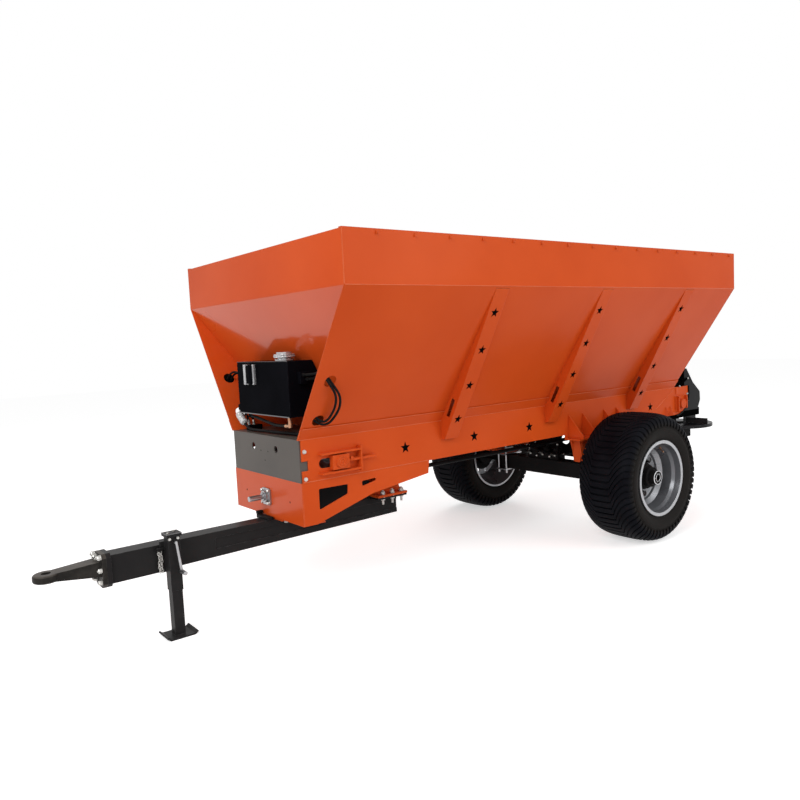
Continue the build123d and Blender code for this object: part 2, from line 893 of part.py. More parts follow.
def rim():
    half = rim_width / 2
    profile = [
        (-half, rim_flange_radius),
        (-half + 12, rim_flange_radius),
        (-half + 12, bead_radius),
        (half - 12, bead_radius),
        (half - 12, rim_flange_radius),
        (half, rim_flange_radius),
        (half - 2, rim_flange_radius - 25),
        (half - 47, rim_flange_radius - 35),
        (half - 73, rim_flange_radius - 47),
        (half - 143, rim_flange_radius - 63),
        (half - 155, rim_flange_radius - 75),
        (half - 173, rim_flange_radius - 93),
        (disc_outer_offset + 6, rim_flange_radius - 101),
        (disc_outer_offset, disc_bore_radius),
        (disc_inner_offset, disc_bore_radius),
        (disc_inner_offset + 6, rim_flange_radius - 91),
        (-half + 60, rim_flange_radius - 35),
        (-half, rim_flange_radius - 16),
    ]
    piece = turned(profile, tyre_middle_y)
    for step in range(hand_hole_count):
        turn = math.radians(hand_hole_turn + 360 * step / hand_hole_count)
        x = axle_x + hand_hole_ring * math.cos(turn)
        z = tyre_radius + hand_hole_ring * math.sin(turn)
        piece -= rod((x, tyre_middle_y - 30, z), (x, tyre_middle_y + 60, z), hand_hole_radius)
    return piece


def hub():
    bore = spindle_radius + running_gap
    cap = hub_cap_y - tyre_middle_y
    profile = [
        (disc_inner_offset - 80, bore),
        (disc_inner_offset - 80, 95),
        (disc_inner_offset - 16, 95),
        (disc_inner_offset - 16, hub_flange_radius),
        (disc_inner_offset, hub_flange_radius),
        (disc_inner_offset, hub_barrel_radius),
        (cap - 122, hub_barrel_radius),
        (cap - 118, 96),
        (cap - 92, 94),
        (cap - 90, 82),
        (cap - 57, 80),
        (cap - 52, 62),
        (cap - 4, 58),
        (cap, 52),
        (cap, 0),
        (95, 0),
        (95, bore),
    ]
    return turned(profile, tyre_middle_y)


def drawbar():
    half = drawbar_half_width
    front_x_limits = (at(-drawbar_front), at(-drawbar_step))
    bar = block(front_x_limits, (-half, half), (drawbar_bottom, drawbar_top))
    rear_part = [
        (at(-drawbar_step), rear_bar_bottom - rear_bar_taper),
        (at(-drawbar_step), rear_bar_top),
        (at(drawbar_rear_back), rear_bar_top),
        (at(drawbar_rear_back), rear_bar_bottom),
    ]
    bar += prism_y(rear_part, (-half, half))
    inner = half - drawbar_wall - groove_depth
    hollow_z = (rear_bar_bottom + drawbar_wall, drawbar_top - drawbar_wall)
    bar -= block((at(-drawbar_front - 10), at(drawbar_rear_back + 10)), (-inner, inner), hollow_z)
    groove_z = [drawbar_bottom + rise for rise in groove_limits]
    groove_x = (at(-drawbar_groove_front), at(drawbar_rear_back + 10))
    for side in (-1, 1):
        bar -= block(groove_x, (side * (half - groove_depth), side * (half + 10)), groove_z)
    pad_x = [at(back) for back in rear_pad_limits]
    bar += block(pad_x, (-pad_half_width, pad_half_width), (rear_bar_top, rear_bar_top + pad_sheet))
    face = at(-drawbar_front)
    return bar + eye_flange(face)


def drawbar_mount():
    front_x = [at(back) for back in front_pad_limits]
    front_pad = block(front_x, (-pad_half_width, pad_half_width), (rear_bar_top, box_bottom))
    plate_low = rear_bar_top + pad_sheet
    plate_high = plate_low + pad_sheet
    pad_x = [at(back) for back in rear_pad_limits]
    rear_pad = block(pad_x, (-pad_half_width - 8, pad_half_width + 8), (plate_low, plate_high))
    crossbeam_y = frame_half_width - box_sheet
    beam_x = [at(back) for back in rear_beam_limits]
    beam_low = box_bottom + rear_beam_rise
    mount = rear_pad + block(beam_x, (-crossbeam_y, crossbeam_y), (beam_low, frame_bottom))
    gusset = [
        (pad_x[0], plate_high),
        (pad_x[1], plate_high),
        (beam_x[1], beam_low),
        (beam_x[0], beam_low),
    ]
    for side in (-1, 1):
        mount += prism_y(gusset, [side * y for y in gusset_y_limits])
    return group([front_pad, mount])


def eye_flange(face):
    # Flange plate with cut corners, standing in front of the station face
    half = eye_flange_half_width
    low, high = eye_flange_limits
    cut = 22
    outline = [
        (-half, low + cut),
        (-half + cut, low),
        (half - cut, low),
        (half, low + cut),
        (half, high - cut),
        (half - cut, high),
        (-half + cut, high),
        (-half, high - cut),
    ]
    return prism_x(outline, (face, face + eye_flange_sheet))


def tow_eye():
    face = at(-drawbar_front) + eye_flange_sheet
    root = face + eye_flange_sheet
    half = eye_thickness / 2
    eye_x = at(-eye_reach)
    plan = [
        (root, -arm_half_width),
        (eye_x, -eye_outer_radius + 22),
        (eye_x, eye_outer_radius - 22),
        (root, arm_half_width),
    ]
    side_view = [
        (root, arm_limits[0]),
        (root, arm_limits[1]),
        (eye_x - 40, eye_height + half),
        (eye_x, eye_height + half),
        (eye_x, eye_height - half),
        (eye_x - 40, eye_height - half),
    ]
    arm = prism_z(plan, arm_limits) & prism_y(side_view, (-arm_half_width, arm_half_width))
    ring = rod((eye_x, 0, eye_height - half), (eye_x, 0, eye_height + half), eye_outer_radius)
    ring = fillet(ring.edges().filter_by(GeomType.CIRCLE), eye_edge_radius)
    bore = rod((eye_x, 0, eye_height - 80), (eye_x, 0, eye_height + 80), eye_bore_radius)
    return eye_flange(face) + arm + ring - bore


jack_x = at(-jack_reach)


def jack_tube_piece():
    half = jack_tube / 2
    inner = jack_leg / 2 + seat_gap
    tube = block((jack_x - half, jack_x + half), (jack_y - half, jack_y + half), (jack_tube_bottom, jack_top))
    ceiling = jack_top - jack_cap_gap
    tube -= block((jack_x - inner, jack_x + inner), (jack_y - inner, jack_y + inner), (0, ceiling))
    plate_y = (drawbar_half_width, jack_y - half)
    tube += block((jack_x - 60, jack_x + 60), plate_y, (drawbar_bottom, drawbar_top + 20))
    head_x = (jack_x - 45, jack_x + 45)
    head = block(head_x, (jack_y - 45, jack_y + 45), (jack_top, jack_top + jack_head_sheet))
    return tube + head


def jack_leg_piece():
    half = jack_leg / 2
    leg_top = jack_top - jack_cap_gap - jack_travel - 5
    leg = block((jack_x - half, jack_x + half), (jack_y - half, jack_y + half), (foot_thickness, leg_top))
    reach = foot_length / 2
    way = [
        (jack_x - reach, foot_rise),
        (jack_x - reach + 22, 0),
        (jack_x + reach - 22, 0),
        (jack_x + reach, foot_rise),
    ]
    foot = prism_y(folded(way, foot_thickness), (jack_y - foot_width / 2, jack_y + foot_width / 2))
    return leg + foot


def jack_crank():
    side = jack_y + jack_tube / 2
    high = jack_top - 30
    crank = rod((jack_x, side, high), (jack_x, side + 32, high), 9)
    crank += rod((jack_x, side + 32, high + 8), (jack_x - 22, side + 32, high - 178), 8)
    crank += rod((jack_x - 20, side + 25, high - 174), (jack_x - 20, side + 95, high - 174), 12)
    return crank


def pto_bearing():
    # Square flange, a round boss and a small collar on the front box
    half = 55
    face = at(cover_back)
    body = block((face, face + 12), (-half, half), (pto_height - half, pto_height + half))
    body = fillet(body.edges().filter_by(Axis.X), 18)
    for reach, radius in ((30, 40), (40, 27)):
        body += rod((face, 0, pto_height), (face + reach, 0, pto_height), radius)
    return body - rod((at(50), 0, pto_height), (at(-60), 0, pto_height), pto_neck_radius + running_gap)


def pto_stub():
    neck = rod((at(line_front_back), 0, pto_height), (at(-pto_neck_reach), 0, pto_height), pto_neck_radius)
    return neck + rod((at(-pto_neck_reach), 0, pto_height), (at(-pto_reach), 0, pto_height), pto_radius)


line_rear_back = hopper_length - drop_box_front - 5


def driveline():
    return rod((at(line_front_back), 0, pto_height), (at(line_rear_back), 0, pto_height), line_radius)


def driveline_cover():
    # Folded cover over the power shaft, standing on the drawbar inside the front box
    x_limits = [at(back) for back in cover_limits]
    half = line_cover_half_width
    inner = half - line_cover_sheet
    top = rear_bar_top + line_cover_height
    cover = block(x_limits, (-half, half), (rear_bar_top, top))
    room_x = (min(x_limits) - 10, max(x_limits) + 10)
    return cover - block(room_x, (-inner, inner), (rear_bar_top - 10, top - line_cover_sheet))


def rear_guard():
    # Folded sheet across the frame behind the axle, with a hole for the power shaft
    inner = frame_half_width - frame_sheet
    x = at(guard_back)
    sheet = block((x - guard_sheet, x), (-inner, inner), (frame_bottom - guard_depth, frame_bottom))
    sheet += block((x - guard_fold, x), (-inner, inner), (frame_bottom - guard_sheet, frame_bottom))
    return sheet - rod((x - 20, 0, pto_height), (x + 10, 0, pto_height), line_radius + 20)


def drop_box():
    front = hopper_length - drop_box_front
    body = block((at(front), at(front + drop_box_depth)), (-70, 70), (spinner_floor + 20, pto_height + 80))
    bore_end = front + drop_box_depth / 4
    return body - rod((at(front - 60), 0, pto_height), (at(bore_end), 0, pto_height), line_radius + 10)


def spinner_gearbox():
    height = disc_height - gearbox_drop
    rear = at(disc_back)
    tube = rod((rear, -disc_y, height), (rear, disc_y, height), 42)
    for y in (-disc_y, 0, disc_y):
        box_x = (rear - gearbox_half, rear + gearbox_half)
        tube += block(box_x, (y - 70, y + 70), (height - 50, height + 45))
    front = hopper_length - drop_box_front + drop_box_depth
    return tube + rod((at(front), 0, height), (rear, 0, height), 30)


def spinner_frame():
    inner = frame_half_width - frame_sheet
    front = hopper_length - drop_box_front - 35
    rear = disc_back + 70
    low = spinner_floor
    arms = Part()
    for side in (-1, 1):
        hanger_y = (side * (inner - 12), side * inner)
        arms += block((at(front), at(front + 120)), hanger_y, (low, frame_bottom))
        arm_y = (side * (disc_y - 35), side * (disc_y + 35))
        arms += block((at(front), at(rear)), arm_y, (low, low + 30))
    arms += block((at(front), at(front + 30)), (-inner, inner), (low, low + 40))
    arms += block((at(front + 30), at(front + 140)), (-inner, inner), (low, low + 20))
    return arms


def spinner_disc():
    x = at(disc_back)
    top = disc_height
    plate = rod((x, disc_y, top - disc_sheet), (x, disc_y, top), disc_radius)
    skirt = rod((x, disc_y, top - disc_skirt), (x, disc_y, top), disc_radius)
    skirt -= rod((x, disc_y, top - disc_skirt - 1), (x, disc_y, top - disc_sheet), disc_radius - 4)
    gearbox_top = top - gearbox_drop + 45
    hub_piece = rod((x, disc_y, gearbox_top + seat_gap), (x, disc_y, top + 14), 45)
    disc = plate + skirt + hub_piece
    for step in range(vane_count):
        vane = block((70, disc_radius - 10), (-4, 4), (0, vane_height))
        disc += Pos(x, disc_y, top) * Rot(0, 0, 360 / vane_count * step + vane_turn) * vane
    return disc


gate_face = at(hopper_length)
gate_rod_x = gate_face - gate_play - gate_sheet - gate_rod_offset
cylinder_low = gate_top + gate_travel
cylinder_high = cylinder_low + gate_travel + 60


def gate():
    lug_x = gate_face - gate_play - gate_sheet
    plate = block((gate_face - gate_play, lug_x), (-gate_half_width, gate_half_width), (wall_foot, gate_top))
    plate += block((lug_x, lug_x - 50), (-25, 25), (gate_top - 50, gate_top - 10))
    return plate + rod((gate_rod_x, 0, gate_top - 20), (gate_rod_x, 0, cylinder_low + 20), gate_rod_radius)


def gate_guide():
    depth = 2 * gate_play + gate_sheet
    z_limits = (wall_foot, gate_top + gate_travel + 20)
    body = block((gate_face, gate_face - depth - 6), guide_limits, z_limits)
    slot_y = (guide_limits[0] - 5, gate_half_width + gate_play)
    return body - block((gate_face, gate_face - depth), slot_y, (0, hopper_top))


def gate_cylinder():
    barrel = rod((gate_rod_x, 0, cylinder_low), (gate_rod_x, 0, cylinder_high), 30)
    for height in (cylinder_low + 30, cylinder_high - 60):
        barrel += block((gate_face, gate_rod_x), (-35, 35), (height, height + 20))
    bore_ends = [(gate_rod_x, 0, height) for height in (cylinder_low - 60, cylinder_high - 15)]
    return barrel - rod(*bore_ends, gate_rod_radius + seat_gap)


def hood():
    way = [(at(hopper_length + overhang), frame_bottom + rise) for overhang, rise in hood_table]
    front = at(hopper_length + hood_front_overhang)
    outline = [(front, way[-1][1]), (front, way[0][1])] + way
    cover = prism_y(folded(way, hood_sheet), (-hood_y, hood_y))
    inner = frame_half_width - frame_sheet
    for side in (-1, 1):
        cover += prism_y(outline, (side * hood_y, side * inner))
    return cover


# Hoses of the left wing: back, height on the side sheet and reach off it, outside of the wing
wing_routes = {
    "front": {
        "inside": ((106, 385.3, 1495), (106, 480, 1495), (100, 610, 1515)),
        "outside": ((92, 1455, 32), (155, 1390, 40), (172, 1300, 40), (135, 1212, 34), (95, 1225, -60)),
        "ending": ((128, 375, 1215), (128, 375, 1138.3)),
    },
    "rear": {
        "inside": ((130, 385.3, 1468), (130, 478, 1468), (126, 600, 1510)),
        "outside": ((116, 1450, 34), (185, 1385, 42), (206, 1295, 42), (150, 1190, 36), (66, 1216, -60)),
        "ending": ((92, 376, 1215), (92, 376, 1138.3)),
    },
}
upper_tank_route = (
    (50, 254.3, 1176),
    (52, 150, 1166),
    (54, 20, 1178),
    (52, -110, 1199),
    (50, -190, 1211),
    (50, -239.7, 1213),
)
lower_tank_route = (
    (45, -344.8, 1159.8),
    (45, -295.8, 1121.8),
    (52, -176, 1119),
    (60, -40, 1121),
    (72, 100, 1119),
    (95, 222, 1120),
    (95, 334.7, 1120),
)


def wing_points(route):
    inside = [(at(back), y, z) for back, y, z in route["inside"]]
    outside = [beside(*place) for place in route["outside"]]
    return inside + outside + [(at(back), y, z) for back, y, z in route["ending"]]


def hose(name, points, radius):
    # Tube along points, every corner rounded as wide as its shorter run allows
    bends = []
    for before, corner, after in zip(points, points[1:], points[2:]):
        run_in = Vector(*corner) - Vector(*before)
        run_out = Vector(*after) - Vector(*corner)
        half_turn = math.radians(run_in.get_angle(run_out)) / 2
        bends.append(0.45 * min(run_in.length, run_out.length) / math.tan(half_turn))
    path = FilletPolyline(*points, radius=bends)
    section = Plane(origin=points[0], z_dir=path.tangent_at(0)) * Circle(radius)
    tube = sweep(section, path=path)
    share = tube.volume / (math.pi * radius**2 * path.length)
    rounded = [round(bend) for bend in bends]
    print(name, "bends", rounded, "length", round(path.length), "share", round(share, 4))
    return tube


def hose_fittings():
    # Blocks, filter and elbows that the hoses end on
    tank_side = (tank_half_width, tank_half_width + 35)
    block_side = (frame_half_width - 122, frame_half_width - 62)
    pieces = []
    for side in (-1, 1):
        valve_y = [side * y for y in tank_side]
        pieces.append(block((at(85), at(150)), valve_y, (valve_height - 18, valve_height + 57)))
        block_y = [side * y for y in block_side]
        pieces.append(block((at(80), at(175)), block_y, (frame_top, frame_top + 35)))
    low = tank_bottom - shelf_sheet
    filter_y = -tank_half_width
    filter_piece = block((at(25), at(65)), [-y for y in tank_side], (tank_bottom + 10, tank_bottom + 50))
    link = [(at(45), filter_y - 25, tank_bottom + 22), (at(45), filter_y - 62, tank_bottom - 40)]
    bowl = [(at(45), filter_y - 75, tank_bottom - 18), (at(45), filter_y + 5, tank_bottom - 80)]
    pieces.append(filter_piece + rod(*link, 12) + rod(*bowl, 25))
    elbow_y = tank_half_width - 60
    elbow = rod((at(50), elbow_y, low), (at(50), elbow_y, tank_bottom - 75), 14)
    elbow += rod((at(50), elbow_y, tank_bottom - 61), (at(50), elbow_y - 35.4, tank_bottom - 64), 15)
    pieces.append(elbow)
    stem_y = 94 - tank_half_width
    stem = rod((at(50), stem_y, low), (at(50), stem_y, tank_bottom - 35), 13)
    stem += rod((at(50), stem_y, tank_bottom - 26), (at(50), stem_y + 16, tank_bottom - 27), 12)
    pieces.append(stem)
    return group(pieces)


save_pair("hopper_side", hopper_sides())
save("hopper_front", hopper_front())
save("hopper_rear", hopper_rear())
save_pair("frame_side", frame_side())
save("rear_edging", both_sides(edging()))
save_pair("ribs", ribs())
save("front_cover", front_cover())
save("front_box", front_box())
save_pair("truss_plate", truss_plate())
save("oil_tank", oil_tank())
save("tank_stand", tank_stand())
save("tank_cap", tank_cap())
save("level_gauge", level_gauge())
save("tensioners", both_sides(tensioner()))
save("rear_bearings", both_sides(rear_bearing()))
save("conveyor_shafts", group([conveyor_shaft(back) for back in (front_shaft_back, rear_shaft_back)]))
save("conveyor_chain", conveyor_chain())
save("conveyor_floor", conveyor_floor())
save("crossmembers", crossmembers())
save("axle_beam", axle_beam())
save("axle_mounts", both_sides(axle_mount()))
save("leaf_springs", both_sides(leaf_spring()))
save("axle_clamps", both_sides(axle_clamps()))
save_pair("tyre", tyre())
save_pair("rim", rim())
save_pair("hub", hub())
save("drawbar", drawbar())
save("drawbar_mount", drawbar_mount())
save("tow_eye", tow_eye())
save("jack_tube", jack_tube_piece())
save("jack_leg", jack_leg_piece())
save("jack_crank", jack_crank())
save("pto_bearing", pto_bearing())
save("pto_stub", pto_stub())
save("driveline", driveline())
save("driveline_cover", driveline_cover())
save("rear_guard", rear_guard())
save("drop_box", drop_box())
save("spinner_gearbox", spinner_gearbox())
save("spinner_frame", spinner_frame())
save_pair("spinner_disc", spinner_disc())
save("gate", gate())
save("gate_guides", both_sides(gate_guide()))
save("gate_cylinder", gate_cylinder())
save("hood", hood())
for place, route in wing_routes.items():
    save_pair(f"{place}_wing_hose", hose(f"{place}_wing_hose", wing_points(route), hose_radius))
for name, route in (("upper_tank_hose", upper_tank_route), ("lower_tank_hose", lower_tank_route)):
    save(name, hose(name, [(at(back), y, z) for back, y, z in route], tank_hose_radius))
save("hose_fittings", hose_fittings())
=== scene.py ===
import math

import bmesh
import bpy
from mathutils import Matrix, Vector


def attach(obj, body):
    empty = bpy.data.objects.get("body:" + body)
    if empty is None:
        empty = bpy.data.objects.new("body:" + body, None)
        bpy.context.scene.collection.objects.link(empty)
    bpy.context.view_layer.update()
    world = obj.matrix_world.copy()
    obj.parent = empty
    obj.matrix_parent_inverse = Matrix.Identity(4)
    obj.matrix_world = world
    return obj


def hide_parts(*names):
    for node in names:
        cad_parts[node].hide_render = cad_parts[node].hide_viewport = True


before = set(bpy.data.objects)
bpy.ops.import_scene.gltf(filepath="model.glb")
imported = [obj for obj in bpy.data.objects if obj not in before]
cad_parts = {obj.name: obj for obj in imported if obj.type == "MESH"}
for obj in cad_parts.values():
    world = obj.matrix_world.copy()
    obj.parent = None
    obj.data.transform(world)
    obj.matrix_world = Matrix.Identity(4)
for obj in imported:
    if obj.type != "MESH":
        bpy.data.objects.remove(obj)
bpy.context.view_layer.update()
scene = bpy.context.scene
scene.view_settings.view_transform = "Standard"
print("frame loaded:", len(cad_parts), "nodes")


def addObject(name, data):
    piece = bpy.data.objects.new(name, data)
    scene.collection.objects.link(piece)
    return piece


# Camera, as in the photograph
viewpoint = {"place": (3.7802, 4.2277, 1.6793), "yaw": -127.85, "pitch": -4.78, "roll": -2.773, "lens": 32.25}

cameraData = bpy.data.cameras.new("camera")
cameraData.lens = viewpoint["lens"]
cameraData.sensor_width = 36
camera = addObject("camera", cameraData)
turn = Matrix.Rotation(math.radians(viewpoint["yaw"] - 90), 4, "Z")
tilt = Matrix.Rotation(math.radians(90 + viewpoint["pitch"]), 4, "X")
lean = Matrix.Rotation(math.radians(viewpoint["roll"]), 4, "Z")
camera.matrix_world = Matrix.Translation(viewpoint["place"]) @ turn @ tilt @ lean
scene.camera = camera


# Shared shader groups
def startGroup(name, inputs, outputs):
    group = bpy.data.node_groups.new(name, "ShaderNodeTree")
    for label, value in inputs.items():
        kind = "NodeSocketColor" if isinstance(value, tuple) else "NodeSocketFloat"
        socket = group.interface.new_socket(name=label, in_out="INPUT", socket_type=kind)
        socket.default_value = value
    for label, kind in outputs.items():
        group.interface.new_socket(name=label, in_out="OUTPUT", socket_type=kind)
    start = group.nodes.new("NodeGroupInput")
    end = group.nodes.new("NodeGroupOutput")
    return group, start, end


def addNode(tree, kind, values=None, **settings):
    node = tree.nodes.new(kind)
    for label, value in settings.items():
        setattr(node, label, value)
    for label, value in (values or {}).items():
        node.inputs[label].default_value = value
    return node


def link(tree, *wires):
    # Each wire runs from one node's output to another node's input
    for source, output, target, socket in wires:
        tree.links.new(source.outputs[output], target.inputs[socket])


def makeMottle():
    # Slow patches and fine speckle on object coordinates
    group, start, end = startGroup(
        "paintMottle", {"Patch Scale": 2.0, "Speckle Scale": 160.0},
        {"Patches": "NodeSocketFloat", "Speckle": "NodeSocketFloat"},
    )
    place = addNode(group, "ShaderNodeTexCoord")
    for label, scaleFrom, detail in (("Patches", "Patch Scale", 3.0), ("Speckle", "Speckle Scale", 2.0)):
        noise = addNode(group, "ShaderNodeTexNoise", {"Detail": detail, "Roughness": 0.55})
        link(group, (place, "Object", noise, "Vector"), (start, scaleFrom, noise, "Scale"), (noise, "Fac", end, label))
    return group


def makeEdges():
    # Rounded normals along hard edges, and a mask of those edges broken up by noise
    group, start, end = startGroup(
        "softEdges", {"Radius": 0.003, "Break Scale": 30.0}, {"Normal": "NodeSocketVector", "Edge": "NodeSocketFloat"},
    )
    bevel = addNode(group, "ShaderNodeBevel", samples=4)
    plain = addNode(group, "ShaderNodeNewGeometry")
    along = addNode(group, "ShaderNodeVectorMath", operation="DOT_PRODUCT")
    band = addNode(group, "ShaderNodeMapRange", {"From Min": 0.995, "From Max": 0.86})
    place = addNode(group, "ShaderNodeTexCoord")
    noise = addNode(group, "ShaderNodeTexNoise", {"Detail": 4.0, "Roughness": 0.6})
    gaps = addNode(group, "ShaderNodeMapRange", {"From Min": 0.35, "From Max": 0.65})
    both = addNode(group, "ShaderNodeMath", operation="MULTIPLY")
    link(group, (start, "Radius", bevel, "Radius"), (bevel, "Normal", along, 0), (plain, "Normal", along, 1),
         (along, "Value", band, "Value"), (place, "Object", noise, "Vector"), (start, "Break Scale", noise, "Scale"),
         (noise, "Fac", gaps, "Value"), (band, "Result", both, 0), (gaps, "Result", both, 1),
         (bevel, "Normal", end, "Normal"), (both, "Value", end, "Edge"))
    return group


def makeDust():
    # Dust that settles on upward faces and low down on the machine
    group, start, end = startGroup(
        "settledDust", {"Top Amount": 0.3, "Low Amount": 0.3, "Low Height": 0.5}, {"Dust": "NodeSocketFloat"},
    )
    plain = addNode(group, "ShaderNodeNewGeometry")
    parts = addNode(group, "ShaderNodeSeparateXYZ")
    upward = addNode(group, "ShaderNodeMapRange", {"From Min": 0.3, "From Max": 1.0})
    place = addNode(group, "ShaderNodeTexCoord")
    height = addNode(group, "ShaderNodeSeparateXYZ")
    low = addNode(group, "ShaderNodeMapRange", {"From Max": 0.0})
    noise = addNode(group, "ShaderNodeTexNoise", {"Scale": 14.0, "Detail": 6.0, "Roughness": 0.7})
    cloud = addNode(group, "ShaderNodeMapRange", {"From Min": 0.42, "From Max": 0.68})
    topShare = addNode(group, "ShaderNodeMath", operation="MULTIPLY")
    lowShare = addNode(group, "ShaderNodeMath", operation="MULTIPLY")
    total = addNode(group, "ShaderNodeMath", operation="ADD")
    result = addNode(group, "ShaderNodeMath", operation="MULTIPLY", use_clamp=True)
    link(group, (plain, "Normal", parts, "Vector"), (parts, "Z", upward, "Value"),
         (place, "Object", height, "Vector"), (height, "Z", low, "Value"), (start, "Low Height", low, "From Min"),
         (place, "Object", noise, "Vector"), (noise, "Fac", cloud, "Value"),
         (upward, "Result", topShare, 0), (start, "Top Amount", topShare, 1),
         (low, "Result", lowShare, 0), (start, "Low Amount", lowShare, 1),
         (topShare, "Value", total, 0), (lowShare, "Value", total, 1),
         (total, "Value", result, 0), (cloud, "Result", result, 1), (result, "Value", end, "Dust"))
    return group


paintMottle = makeMottle()
softEdges = makeEdges()
settledDust = makeDust()


# Finishes
def placeGroup(tree, group, values):
    node = tree.nodes.new("ShaderNodeGroup")
    node.node_tree = group
    for label, value in values.items():
        node.inputs[label].default_value = value
    return node


def mixColour(tree, factor, first, second):
    node = addNode(tree, "ShaderNodeMix", data_type="RGBA")
    tree.links.new(factor, node.inputs[0])
    for socket, value in ((node.inputs[6], first), (node.inputs[7], second)):
        if isinstance(value, tuple):
            socket.default_value = (*value, 1)
        else:
            tree.links.new(value, socket)
    return node.outputs[2]


def spread(tree, value, low, high, fromMin=0.3, fromMax=0.7):
    limits = {"From Min": fromMin, "From Max": fromMax, "To Min": low, "To Max": high}
    node = addNode(tree, "ShaderNodeMapRange", limits)
    tree.links.new(value, node.inputs["Value"])
    return node.outputs["Result"]


def heightOf(tree):
    # Height above the ground, from object coordinates
    parts = addNode(tree, "ShaderNodeSeparateXYZ")
    link(tree, (addNode(tree, "ShaderNodeTexCoord"), "Object", parts, "Vector"))
    return parts.outputs["Z"]


def makeFinish(name, look):
    # Painted, plated or rubber surface: two tones, speckle, a paler edge colour that is partly wear and partly painted
    # highlight, dust and a fine bump
    finish = bpy.data.materials.new(name)
    finish.use_nodes = True
    finish.diffuse_color = (*look["colour"], 1)
    tree = finish.node_tree
    shader = tree.nodes["Principled BSDF"]
    mottle = placeGroup(tree, paintMottle, {
        "Patch Scale": look.get("patch", 2.0), "Speckle Scale": look.get("grain", 300.0),
    })
    edges = placeGroup(tree, softEdges, {"Radius": look.get("edge", 0.003), "Break Scale": 25.0})
    dust = placeGroup(tree, settledDust, {
        "Top Amount": look.get("dustTop", 0.1), "Low Amount": look.get("dustLow", 0.2), "Low Height": 0.6,
    })
    patches = mottle.outputs["Patches"]
    colour = mixColour(tree, spread(tree, patches, 0, 1), look["colour"], look["colour2"])
    if "facingLightTone" in look:
        # Faces that look along one axis take a tone of their own: a painted highlight where it is lighter, painted
        # shade where it is darker
        parts = addNode(tree, "ShaderNodeSeparateXYZ")
        across = addNode(tree, "ShaderNodeMath", operation="ABSOLUTE")
        link(tree, (addNode(tree, "ShaderNodeNewGeometry"), "Normal", parts, "Vector"),
             (parts, look["facingLightAxis"], across, 0))
        colour = mixColour(tree, spread(tree, across.outputs["Value"], 0, 1, 0.35, 0.9), colour, look["facingLightTone"])
    # Paler colour along the edges: partly wear, partly a painted highlight along them
    wearAndHighlightShare = addNode(tree, "ShaderNodeMath", {1: look.get("edgeWearAndHighlight", 0.2)}, operation="MULTIPLY")
    link(tree, (edges, "Edge", wearAndHighlightShare, 0))
    colour = mixColour(tree, wearAndHighlightShare.outputs["Value"], colour, look.get("edgeWearAndHighlightColour", look["colour2"]))
    colour = mixColour(tree, dust.outputs["Dust"], colour, look.get("dustColour", (0.35, 0.31, 0.26)))
    if "blackAbove" in look:
        share = spread(tree, heightOf(tree), 0.0, 1.0, look["blackAbove"] - 0.01, look["blackAbove"] + 0.01)
        colour = mixColour(tree, share, colour, (0.006, 0.006, 0.0065))
    tree.links.new(colour, shader.inputs["Base Color"])
    shine = addNode(tree, "ShaderNodeMath", operation="ADD")
    tree.links.new(spread(tree, patches, look["rough"] - 0.04, look["rough"] + 0.05), shine.inputs[0])
    dustShine = addNode(tree, "ShaderNodeMath", {1: 0.35}, operation="MULTIPLY")
    bump = addNode(tree, "ShaderNodeBump", {"Strength": look.get("bump", 0.15), "Distance": look.get("relief", 0.0006)})
    link(tree, (dust, "Dust", dustShine, 0), (dustShine, "Value", shine, 1), (shine, "Value", shader, "Roughness"),
         (mottle, "Speckle", bump, "Height"), (edges, "Normal", bump, "Normal"))
    if "wave" in look:
        slow = addNode(tree, "ShaderNodeTexNoise", {"Scale": 2.6, "Detail": 1.0})
        dent = addNode(tree, "ShaderNodeBump", {"Strength": look["wave"], "Distance": 0.02})
        link(tree, (addNode(tree, "ShaderNodeTexCoord"), "Object", slow, "Vector"), (slow, "Fac", dent, "Height"),
             (bump, "Normal", dent, "Normal"))
        bump = dent
    link(tree, (bump, "Normal", shader, "Normal"))
    for label, key, usual in (("Metallic", "metal", 0.0), ("Specular IOR Level", "specular", 0.4),
                              ("Coat Weight", "coat", 0.0), ("Coat Roughness", "coatRough", 0.12)):
        shader.inputs[label].default_value = look.get(key, usual)
    if "coatBelow" in look:
        share = spread(tree, heightOf(tree), look["coat"], 0.0, look["coatBelow"] - 0.004, look["coatBelow"])
        tree.links.new(share, shader.inputs["Coat Weight"])
    return finish
